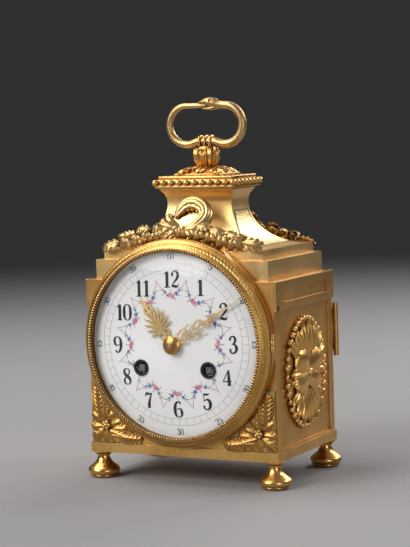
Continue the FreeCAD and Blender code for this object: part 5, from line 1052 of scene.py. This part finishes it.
minuteHand = {
    "angle": 32.4, "lift": 1.65, "thick": 0.5, "hub": (3.6, 0.8),
    "middle": [[(4.0, 0, 0.8), (8.0, 0, 0.4), (12.0, 0, 0.5)],
               [(12.0, 0, 0.45), (18.0, 0, 0.3), (24.0, 0, 0.4), (28.0, 0, 0.75)],
               [(28.0, 0, 0.75), (33.0, 0, 0.5), (40.0, 0, 0.36), (46.8, 0, 0.10)]],
    "sides": (1,),
    "scrolls": [
        [(4.0, 0.4, 0.45), (7.0, 3.9, 0.42), (11.6, 3.6, 0.48), (12.0, 1.0, 0.40), (9.2, 0.9, 0.42),
         (9.6, 2.3, 0.35)],
        [(4.2, -0.5, 0.45), (6.4, -2.8, 0.40), (9.4, -2.6, 0.42), (9.2, -1.0, 0.36)],
        [(9.6, -0.2, 0.40), (12.0, -3.3, 0.42), (16.0, -3.5, 0.48), (16.8, -1.2, 0.40), (14.4, -1.0, 0.40),
         (14.8, -2.2, 0.35)],
        [(11.4, 3.0, 0.25), (13.6, 4.3, 0.50), (15.4, 3.6, 0.10)],
        [(15.0, 0.2, 0.40), (17.6, 3.1, 0.42), (21.4, 3.1, 0.46), (22.0, 1.0, 0.38), (20.0, 0.9, 0.40),
         (20.2, 2.0, 0.30)],
        [(16.4, -2.8, 0.25), (18.6, -3.8, 0.45), (20.4, -3.0, 0.10)],
        [(20.6, -0.2, 0.38), (22.8, -2.5, 0.40), (26.2, -2.4, 0.42), (26.8, -0.8, 0.34), (25.0, -0.8, 0.36)],
        [(25.0, 0.2, 0.35), (27.2, 1.8, 0.38), (29.6, 1.4, 0.38), (30.4, 0.3, 0.30)],
    ],
}


def makeHand(hand, name, body, node):
    pieces = [penStroke(stroke, hand["thick"], 5) for stroke in hand["middle"]]
    for stroke in hand["scrolls"]:
        for side in hand["sides"]:
            pieces.append(penStroke([(x, y * side, half) for x, y, half in stroke], hand["thick"], 6))
    radius, half = hand["hub"]
    hub = [(x, y, half) for x, y in arcPoints((0, 0), radius, 0, 360, 40)]
    pieces.append(penStroke(hub, hand["thick"], 1))
    flat = gathered(pieces)
    tidyMesh(flat, 30)
    piece = onDial(flat, 0, 0, hand["angle"])
    dropPatterns(flat)
    layOnDial(piece, hand["lift"])
    easedEdges(piece, handEdge, 3)
    bpy.ops.object.shade_smooth_by_angle(angle=math.radians(40))
    finished(piece, name, giltHand, body, [node])


makeHand(hourHand, "hourHandPierced", "hour_work", "hour_hand")
makeHand(minuteHand, "minuteHandPierced", "minute_work", "minute_hand")
print("hands pierced")

# snake handle: a ring of even bends, thin at the tail and thick at the neck, bitten by the head
snake = {
    "axis": 175.0, "top": 193.9, "dipLevel": 173.6, "dipFrom": 4.4, "dipTo": 10.0, "bend": 11.25,
    "around": 20, "step": 0.30, "scale": 0.10, "tailEnd": 1.4, "neck": 9.8,
    # share of the way from tail to neck, radius
    "girth": [(0.0, 0.8), (0.05, 1.25), (0.13, 1.5), (0.25, 1.85), (0.40, 2.0), (0.48, 2.05), (0.60, 2.35),
              (0.80, 2.3), (0.93, 2.1), (1.0, 2.05)],
    # x, upper edge, lower edge, half width: skull with upper jaw, then the lower jaw
    "skull": [(10.8, 196.0, 191.85, 2.05), (9.0, 196.2, 191.8, 2.15), (7.0, 196.9, 191.6, 2.45),
              (5.2, 197.8, 191.6, 2.8), (3.4, 198.35, 192.4, 2.95), (1.6, 198.2, 193.4, 2.8),
              (-0.2, 197.4, 194.3, 2.45), (-2.0, 196.6, 194.7, 2.0), (-3.4, 196.0, 194.8, 1.45),
              (-4.2, 195.5, 194.95, 0.6)],
    "jaw": [(6.4, 194.4, 191.6, 2.4), (4.4, 193.6, 191.3, 2.5), (2.4, 193.2, 191.3, 2.35),
            (0.4, 193.0, 191.5, 2.0), (-1.2, 192.9, 191.9, 1.5), (-2.0, 192.7, 192.3, 0.6)],
    "softening": 3, "eyes": (3.6, 2.66, 196.3), "eyeSize": 0.62, "brow": (3.6, 2.3, 197.2), "browSize": 0.8,
}


def sweptTube(rows, around, scale=0.0):
    # a bar that lies in the XZ plane: rows of middle, half height and half width, with small raised scales
    last = len(rows) - 1
    piece = newSheet(last, around)
    side = Vector((0, 1, 0))
    for corner in piece.data.vertices:
        i = stepOf(corner.co.x, last)
        j = stepOf(corner.co.y, around)
        ahead = rows[min(i + 1, last)][0] - rows[max(i - 1, 0)][0]
        up = ahead.normalized().cross(side)
        turn = 2 * math.pi * j / around
        raised = scale * (0.5 if (i + j) % 2 else -0.5)
        spot, tall, wide = rows[i]
        out = up * math.cos(turn) * (tall + raised)
        corner.co = (spot + out + side * math.sin(turn) * (wide + raised)) * mm
    tidyMesh(piece, 60)
    take(piece)
    bpy.ops.object.mode_set(mode="EDIT")
    bpy.ops.mesh.select_all(action="DESELECT")
    bpy.ops.mesh.select_non_manifold()
    bpy.ops.mesh.edge_face_add()
    bpy.ops.object.mode_set(mode="OBJECT")
    return piece


def betweenPairs(pairs, place):
    # a value read off a short list of place and value
    for (start, first), (end, second) in zip(pairs, pairs[1:]):
        if place <= end:
            return first + (second - first) * (place - start) / (end - start)
    return pairs[-1][1]


def snakeLine():
    radius = (snake["top"] - snake["dipLevel"]) / 2
    middle = snake["top"] - radius
    points = []
    reach = snake["bend"] + snake["tailEnd"]
    count = int(reach / snake["step"])
    for i in range(count):
        points.append((snake["tailEnd"] - reach * i / count, snake["top"]))
    turns = int(math.pi * radius / snake["step"])
    points += arcPoints((-snake["bend"], middle), radius, 90, 270, turns)
    count = int(2 * snake["bend"] / snake["step"])
    for i in range(1, count):
        x = -snake["bend"] + 2 * snake["bend"] * i / count
        share = min(1.0, max(0.0, (snake["dipTo"] - abs(x)) / (snake["dipTo"] - snake["dipFrom"])))
        rise = (snake["axis"] - snake["dipLevel"]) * share * share * (3 - 2 * share)
        points.append((x, snake["dipLevel"] + rise))
    points += arcPoints((snake["bend"], middle), radius, -90, 90, turns)
    count = int((snake["bend"] - snake["neck"]) / snake["step"])
    for i in range(1, count + 1):
        points.append((snake["bend"] - (snake["bend"] - snake["neck"]) * i / count, snake["top"]))
    return points


def headRows(sections, finer=5):
    rows = []
    for before, after in zip(sections, sections[1:]):
        for i in range(finer):
            share = i / finer
            x, high, low, wide = (first + (second - first) * share for first, second in zip(before, after))
            rows.append((Vector((x, 0, (high + low) / 2)), (high - low) / 2, wide))
    x, high, low, wide = sections[-1]
    rows.append((Vector((x, 0, (high + low) / 2)), (high - low) / 2, wide))
    return rows


def makeSnake():
    points = snakeLine()
    rows = []
    for i, (x, z) in enumerate(points):
        girth = betweenPairs(snake["girth"], i / (len(points) - 1))
        rows.append((Vector((x, 0, z)), girth, girth))
    pieces = [sweptTube(rows, snake["around"], snake["scale"])]
    for part in ("skull", "jaw"):
        form = sweptTube(headRows(snake[part]), snake["around"])
        soften = form.modifiers.new("soften", "SMOOTH")
        soften.factor = 0.5
        soften.iterations = snake["softening"]
        applyModifiers(form)
        pieces.append(form)
    x, y, z = snake["brow"]
    for side in (-1, 1):
        pieces.append(placed(pearl, (x, side * y, z), (1, 0, 0.1), (0, side, 0.5), snake["browSize"]))
    finished(gathered(pieces), "snakeRing", giltMatte, "handle", ["snake_handle"])
    x, y, z = snake["eyes"]
    eyes = [placed(pearl, (x, side * y, z), (1, 0, 0), (0, side, 0.25), snake["eyeSize"]) for side in (-1, 1)]
    finished(gathered(eyes), "snakeEyes", holeBlack, "handle")


makeSnake()
print("snake swept")

# cornice: a slab with a row of beads under its edge and a narrow strip below them
cornice = {
    # half length, half depth, lower and upper level of each course
    "courses": [(23.0, 15.8, 151.2, 152.7), (22.4, 15.2, 152.5, 155.6), (21.6, 14.4, 155.4, 157.4)],
    "ease": 0.35,
    "beadLine": (22.7, 15.5), "beadLevel": 154.1, "beadSize": 2.0, "beads": (10, 7),
}


def makeCornice():
    pieces = []
    for halfX, halfY, low, high in cornice["courses"]:
        clearSelection()
        bpy.ops.mesh.primitive_cube_add(size=1.0)
        course = bpy.context.object
        size = Matrix.Diagonal((2 * halfX * mm, 2 * halfY * mm, (high - low) * mm, 1))
        course.data.transform(Matrix.Translation((0, 0, (low + high) / 2 * mm)) @ size)
        easedEdges(course, cornice["ease"], 3)
        pieces.append(course)
    halfX, halfY = cornice["beadLine"]
    alongX, alongY = cornice["beads"]
    spots = [(-halfX + 2 * halfX * i / alongX, side * halfY) for i in range(alongX + 1) for side in (-1, 1)]
    spots += [(side * halfX, -halfY + 2 * halfY * i / alongY) for i in range(1, alongY) for side in (-1, 1)]
    for x, y in spots:
        bead = placed(pearl, (x, y, cornice["beadLevel"]), (1, 0, 0), (0, 0, 1), cornice["beadSize"])
        pieces.append(bead)
    piece = gathered(pieces)
    take(piece)
    bpy.ops.object.shade_smooth_by_angle(angle=math.radians(40))
    finished(piece, "corniceBeaded", giltSatin, "case", ["cornice"])


makeCornice()
print("cornice set")

# knop: a tulip of ribbed leaves with three rings that hold the snake, on a mound of leaves
knop = {
    "profile": [(0, 145.0), (2.0, 145.0), (2.0, 160.6), (4.6, 160.8), (5.0, 161.3), (4.4, 161.9),
                (3.9, 162.4), (4.5, 164.0), (5.4, 166.4), (5.8, 168.6), (5.4, 170.6), (4.4, 172.0),
                (3.2, 172.7), (2.4, 173.2), (0, 173.2)],
    # two rows of leaves: how far each is turned, as a share of a leaf, and its size
    "steps": 40, "leaves": 8, "leafRows": [(0.5, 0.95), (0.0, 1.0)], "leafRadius": 3.4, "leafFoot": 161.2,
    "rings": (-3.1, 0.0, 3.1), "ringMiddle": 2.66, "ringHalf": 0.86, "ringAxis": 175.0, "ringSteps": 28,
    # heading in degrees and reach of each leaf of the mound
    "mound": [(33, 17.5), (147, 17.5), (213, 17.5), (327, 17.5), (0, 15.0), (180, 15.0), (90, 10.5),
              (270, 10.5)],
    "moundFoot": 161.3, "moundStart": 2.6, "moundFall": 0.20,
}


def makeKnop():
    pieces = [turned(knop["profile"], knop["steps"])]
    for start, size in knop["leafRows"]:
        for i in range(knop["leaves"]):
            angle = 2 * math.pi * (i + start) / knop["leaves"]
            out = Vector((math.cos(angle), math.sin(angle), 0))
            root = out * knop["leafRadius"] + Vector((0, 0, knop["leafFoot"]))
            pieces.append(placed(leafUpright, root, (0, 0, 1), out, size))
    for x in knop["rings"]:
        ring = [(knop["ringMiddle"] + r, a) for a, r in arcPoints((0, 0), knop["ringHalf"], 0, 360, 12)]
        pieces.append(turned(ring, knop["ringSteps"], "X", (x, 0, knop["ringAxis"])))
    finished(gathered(pieces), "knopTulip", giltCast, "case", ["handle_socket"])
    softEdged("leaf_plate", giltSatin, "case", 0.25)
    leaves = []
    for angle, length in knop["mound"]:
        out = Vector((math.cos(math.radians(angle)), math.sin(math.radians(angle)), 0))
        root = out * knop["moundStart"] + Vector((0, 0, knop["moundFoot"]))
        along = out - Vector((0, 0, knop["moundFall"]))
        size = (length - knop["moundStart"]) / acanthusLeaf["length"]
        leaves.append(placed(leafAcanthus, root, along, (0, 0, 1), size))
    finished(gathered(leaves), "moundLeaves", giltCast, "case")


makeKnop()
print("knop and mound set")

# oval rosettes on the sides: bead border, sprays of lobes above and below, four curled petals
rosette = {
    "middle": 55.3, "field": 53.0, "half": (22.6, 27.4), "plate": 1.1, "plateEdge": 0.4,
    "beads": 38, "beadSize": 1.78, "beadSizes": (0.72, 1.12), "beadRing": 0.5,
    # spot on the plate as y and z from the middle, heading in degrees, length
    "upper": [(0.5, 6, 84, 21.5), (3.6, 6, 70, 20.0), (-2.6, 6, 98, 21.0), (-5.4, 5.5, 114, 19.5),
              (-8.0, 5, 133, 17.5), (6.6, 5.5, 54, 17.5), (8.6, 4.5, 34, 14.5)],
    "lower": [(0.4, -9, -86, 18.8), (-2.8, -9, -102, 18.2), (3.4, -9, -70, 18.0), (-5.8, -8.5, -120, 16.5),
              (6.2, -8.5, -54, 16.0), (-8.0, -7.5, -146, 14.5), (8.0, -7.5, -30, 13.5),
              (-2.0, -9.6, 178, 13.0), (2.0, -9.6, 2, 13.0), (-3.0, 0.4, 180, 17.5), (3.0, 0.4, 0, 17.5)],
    "lobeLift": 0.4,
    # heading in degrees and size of each curled petal
    "petals": [(34, 1.0), (146, 1.04), (212, 0.98), (328, 0.86)], "petalStart": 0.3, "petalLift": 2.7,
    "petalSway": 4, "clusters": [(17.4, 2.6), (19.6, 0.6), (17.6, -1.2), (19.8, -3.2), (17.6, -5.0)],
    "clusterSize": 1.15, "clusterLift": 3.0, "button": 2.1, "buttonLift": 3.2,
}


def rosetteSpot(side, y, z, lift):
    return Vector((side * (rosette["field"] + lift), y, rosette["middle"] + z))


def makeRosette(side, name, node):
    across, up = rosette["half"]
    out = Vector((side, 0, 0))
    clearSelection()
    bpy.ops.mesh.primitive_cylinder_add(vertices=72, radius=1.0, depth=1.0)
    plate = stretched(Vector((across, up, rosette["plate"])) * mm)
    stand = Matrix(((0, 0, 1, 0), (1, 0, 0, 0), (0, 1, 0, 0), (0, 0, 0, 1)))
    plate.data.transform(Matrix.Translation(rosetteSpot(side, 0, 0, rosette["plate"] / 2) * mm) @ stand)
    easedEdges(plate, rosette["plateEdge"], 2)
    tidyMesh(plate, 30)
    pieces = [plate]
    for i in range(rosette["beads"]):
        angle = 2 * math.pi * i / rosette["beads"]
        size = rosette["beadSize"] * random.uniform(*rosette["beadSizes"])
        y = (across + rosette["beadRing"]) * math.cos(angle)
        z = (up + rosette["beadRing"]) * math.sin(angle)
        place = rosetteSpot(side, y, z, rosette["plate"])
        pieces.append(placed(pearl, place, (0, math.cos(angle), math.sin(angle)), out, size))
    for y, z, heading, length in rosette["upper"] + rosette["lower"]:
        angle = math.radians(heading)
        along = (0, math.cos(angle), math.sin(angle))
        root = rosetteSpot(side, y, z, rosette["plate"] + rosette["lobeLift"])
        pieces.append(placed(lobeLong, root, along, out, length / longLobe["length"]))
    for heading, size in rosette["petals"]:
        angle = math.radians(heading + random.uniform(-rosette["petalSway"], rosette["petalSway"]))
        along = Vector((0, math.cos(angle), math.sin(angle)))
        root = rosetteSpot(side, 0, 0, rosette["petalLift"]) + along * rosette["petalStart"]
        pieces.append(placed(petalBroad, root, along, out, size))
    for y, z in rosette["clusters"]:
        for flip in (1, -1):
            place = rosetteSpot(side, flip * y, z, rosette["clusterLift"])
            pieces.append(placed(pearl, place, (0, 0, 1), out, rosette["clusterSize"]))
    place = rosetteSpot(side, 0, 0, rosette["buttonLift"])
    pieces.append(placed(pearl, place, (0, 0, 1), out, rosette["button"]))
    finished(gathered(pieces), name, giltLitRosette, "case", [node])


makeRosette(-1, "rosetteLeft", "rosette_left")
makeRosette(1, "rosetteRight", "rosette_right")
print("rosettes set")

# corner mounts under the dial: acanthus that spreads from a bud along the plinth and up the edge
mount = {
    "corner": (53.3, 19.4), "inner": 24.5, "upper": 50.6, "arc": 54.9, "centre": 72.8, "back": -36.0,
    "plate": 1.0, "rows": 24, "bud": (44.3, 28.4), "budSize": 1.25, "budLift": 1.4,
    # root, heading in degrees (0 towards the side, 90 up), length; drawn for the right-hand mount
    "long": [(42.0, 23.2, 185, 18.5), (43.4, 25.8, 198, 18.0), (48.0, 31.5, 86, 19.0),
             (45.6, 31.6, 97, 14.0)],
    "short": [(41.0, 26.4, 176, 9.5), (42.4, 28.2, 158, 7.5), (43.6, 31.0, 132, 7.0), (46.6, 36.5, 108, 8.0),
              (46.6, 29.8, 38, 8.6), (46.4, 27.8, -4, 8.0), (46.0, 26.4, -42, 10.0), (44.2, 25.6, -80, 7.0),
              (41.8, 24.6, -112, 6.0), (36.0, 24.2, 190, 8.0), (47.0, 34.0, 64, 7.0)],
    "flat": 0.8, "leafLift": 0.2, "petals": 5, "petalSize": 1.15, "petalRing": 1.55, "petalLift": 1.1,
}


def makeCornerMount(side, name, node):
    plate = newSheet(mount["rows"], 2)
    edgeX, edgeZ = mount["corner"]
    for corner in plate.data.vertices:
        share = (corner.co.x + 1) / 2
        x = mount["inner"] + (edgeX - mount["inner"]) * share
        top = mount["centre"] - math.sqrt(max(0.0, mount["arc"] ** 2 - x * x))
        z = edgeZ + (min(top, mount["upper"]) - edgeZ) * (corner.co.y + 1) / 2
        corner.co = Vector((side * x, mount["back"] - mount["plate"], z)) * mm
    thickened(plate, mount["plate"], -side)
    tidyMesh(plate, 30)
    pieces = [plate]
    front = (0, -1, 0)
    lift = mount["back"] - mount["plate"] - mount["leafLift"]
    for kind, pattern, leaf in (("long", leafSlim, slimLeaf), ("short", leafSpray, sprayLeaf)):
        for x, z, heading, length in mount[kind]:
            angle = math.radians(heading)
            along = (side * math.cos(angle), 0, math.sin(angle))
            size = length / leaf["length"]
            pieces.append(placed(pattern, (side * x, lift, z), along, front, size, mount["flat"]))
    x, z = mount["bud"]
    spot = (side * x, lift - mount["budLift"], z)
    pieces.append(placed(pearl, spot, (0, 0, 1), front, mount["budSize"]))
    for i in range(mount["petals"]):
        angle = 2 * math.pi * i / mount["petals"]
        aside = mount["petalRing"] * math.cos(angle)
        above = mount["petalRing"] * math.sin(angle)
        spot = (side * x + aside, lift - mount["petalLift"], z + above)
        pieces.append(placed(pearl, spot, (0, 0, 1), front, mount["petalSize"]))
    finished(gathered(pieces), name, giltShaded, "case", [node])


makeCornerMount(-1, "cornerMountLeft", "corner_mount_left")
makeCornerMount(1, "cornerMountRight", "corner_mount_right")
print("corner mounts set")

# stippled fields on the sides of the roof, each inside a dark strip that paints the shade of an engraved
# line; black discs paint the shade in screw holes in the friezes
roofField = {
    # the roof's hollow curves: middle and radius as the solids have them, from the upper to the lower end
    "sideCurve": (42.24, 23.44), "frontCurve": (33.2, 23.2), "level": 143.5, "from": 12.5, "to": 73.0,
    "rows": 28, "columns": 8, "inset": 3.4, "raise": 0.10, "thick": 0.3,
    # the line round the field: width, degrees beyond its ends, half a cross line in degrees
    "line": 0.62, "lineInset": 2.4, "lineReach": 2.0, "lineHalf": 0.55, "lineRaise": 0.06, "lineThick": 0.1,
}
screwHole = {
    "places": (-33.6, 91.6), "face": 55.0, "steps": 20,
    "profile": [(0, 0.02), (0.9, 0.02), (0.95, 0.10), (1.25, 0.12), (1.3, 0.0), (1.3, -0.6), (0, -0.6)],
}


def roofSpot(side, angle, share, inset, lift):
    # a place on the roof's side: share runs from -1 at the front hip to 1 at the back hip
    middle, radius = roofField["sideCurve"]
    x = middle - (radius - lift) * math.cos(angle)
    z = roofField["level"] - (radius - lift) * math.sin(angle)
    middle, radius = roofField["frontCurve"]
    half = middle - math.sqrt(max(0.0, radius ** 2 - (roofField["level"] - z) ** 2)) - inset
    return Vector((side * x, half * share, z)) * mm


def makeRoofField(side, name):
    start = math.radians(roofField["from"])
    end = math.radians(roofField["to"])
    field = newSheet(roofField["rows"], roofField["columns"])
    for corner in field.data.vertices:
        angle = start + (end - start) * (corner.co.x + 1) / 2
        corner.co = roofSpot(side, angle, corner.co.y, roofField["inset"], roofField["raise"])
    tidyMesh(field, 30)
    thickened(field, roofField["thick"], 0)
    tidyMesh(field, 30)
    finished(field, name, giltStippled, "case")
    # the line round the field is a dark strip: painted shade of an engraved groove
    strips = []
    reach = math.radians(roofField["lineReach"])
    half = math.radians(roofField["lineHalf"])
    for edge in (-1, 1):
        strips.append((start - reach, end + reach, edge, edge, roofField["line"] * edge))
    for stop in (start - reach, end + reach):
        strips.append((stop - half, stop + half, -1, 1, 0))
    lines = []
    for first, last, left, right, wide in strips:
        line = newSheet(roofField["rows"], 2)
        for corner in line.data.vertices:
            angle = first + (last - first) * (corner.co.x + 1) / 2
            share = left + (right - left) * (corner.co.y + 1) / 2
            spot = roofSpot(side, angle, share, roofField["lineInset"], roofField["lineRaise"])
            corner.co = spot + Vector((0, wide * corner.co.y / 2, 0)) * mm
        thickened(line, roofField["lineThick"], 0)
        lines.append(line)
    piece = gathered(lines)
    tidyMesh(piece, 30)
    finished(piece, name + "Line", grooveShadePaint, "case")


makeRoofField(-1, "roofFieldLeft")
makeRoofField(1, "roofFieldRight")


# black discs on the friezes: painted shade for the inside of the screw holes
def makeScrewHoles():
    holes = []
    y, z = screwHole["places"]
    for side in (-1, 1):
        profile = [(radius, side * (screwHole["face"] + x)) for radius, x in screwHole["profile"]]
        holes.append(turned(profile, screwHole["steps"], "X", (0, y, z)))
    finished(gathered(holes), "friezeHoleShade", holeBlack, "case")


makeScrewHoles()
print("roof fields and screws set")

dropPatterns(leafVine, leafSpray, leafSlim, leafAcanthus, leafUpright, lobeLong, petalBroad, pearl)

# camera and stage
view = {
    "target": (-3.07, 0, 105.34), "azimuth": 27.473, "elevation": 5.0, "roll": -1.718, "distance": 965.6,
    "lens": 120.1, "sensor": 36, "nearest": 0.01,
}


def setCamera():
    turn = Matrix.Rotation(math.radians(view["azimuth"]), 4, "Z")
    tip = Matrix.Rotation(math.pi / 2 - math.radians(view["elevation"]), 4, "X")
    roll = Matrix.Rotation(math.radians(view["roll"]), 4, "Z")
    looking = turn @ tip @ roll
    back = looking @ Vector((0, 0, view["distance"] * mm))
    bpy.ops.object.camera_add()
    camera = bpy.context.object
    camera.matrix_world = Matrix.Translation(Vector(view["target"]) * mm + back) @ looking
    camera.data.lens = view["lens"]
    camera.data.sensor_width = view["sensor"]
    camera.data.clip_start = view["nearest"]
    bpy.context.scene.camera = camera


stage = {
    "floor": (0.268, 0.256, 0.255, 1), "floorRadius": 3.0, "fade": (0.34, 1.5),
    "horizon": (0.030, 0.029, 0.030, 1), "zenith": (0.24, 0.24, 0.25, 1), "aim": (0, 0, 0.1),
    "lamps": [
        # place, size, power; each aims at the middle of the clock
        ((-0.80, -1.30, 1.00), 1.0, 25.0), ((-0.60, -0.12, 1.25), 0.8, 9.5), ((0.16, 1.30, 0.76), 0.8, 10.0),
        ((1.30, -1.10, 0.35), 0.6, 5.0), ((1.15, 0.95, 1.15), 0.45, 7.5),
    ],
}


def setStage():
    clearSelection()
    bpy.ops.mesh.primitive_circle_add(vertices=96, radius=stage["floorRadius"], fill_type="NGON")
    floor = bpy.context.object
    floor.name = "floor"
    material, shader, start, where = newFinish("floorPaper")
    shader.inputs["Base Color"].default_value = stage["floor"]
    fibres = start.noise(where, 220.0, 4.0)
    (0.78 + 0.1 * (fibres - 0.5)).into(shader.inputs["Roughness"])
    clear = start.node("ShaderNodeBsdfTransparent", {}, {})
    away = start.node("ShaderNodeVectorMath", {"operation": "LENGTH"}, {0: where}, "Value")
    start.shown(away.clamped(*stage["fade"]), Wire(start.tree, shader.outputs[0]), clear)
    floor.data.materials.append(material)
    for place, size, power in stage["lamps"]:
        bpy.ops.object.light_add(type="AREA", location=place)
        lamp = bpy.context.object
        lamp.data.size = size
        lamp.data.energy = power
        towards = Vector(stage["aim"]) - Vector(place)
        lamp.rotation_euler = towards.to_track_quat("-Z", "Y").to_euler()
    world = bpy.data.worlds.new("studio")
    world.use_nodes = True
    sky = world.node_tree.nodes["Background"]
    air = Wire(world.node_tree)
    heading = air.node("ShaderNodeTexCoord", {}, {}, "Generated")
    height = air.node("ShaderNodeSeparateXYZ", {}, {0: heading}, "Z")
    air.mixed(height.clamped(0.1, 0.7), stage["horizon"], stage["zenith"]).into(sky.inputs["Color"])
    bpy.context.scene.world = world
    bpy.context.scene.view_settings.view_transform = "Standard"


setCamera()
setStage()
print("camera and stage set")
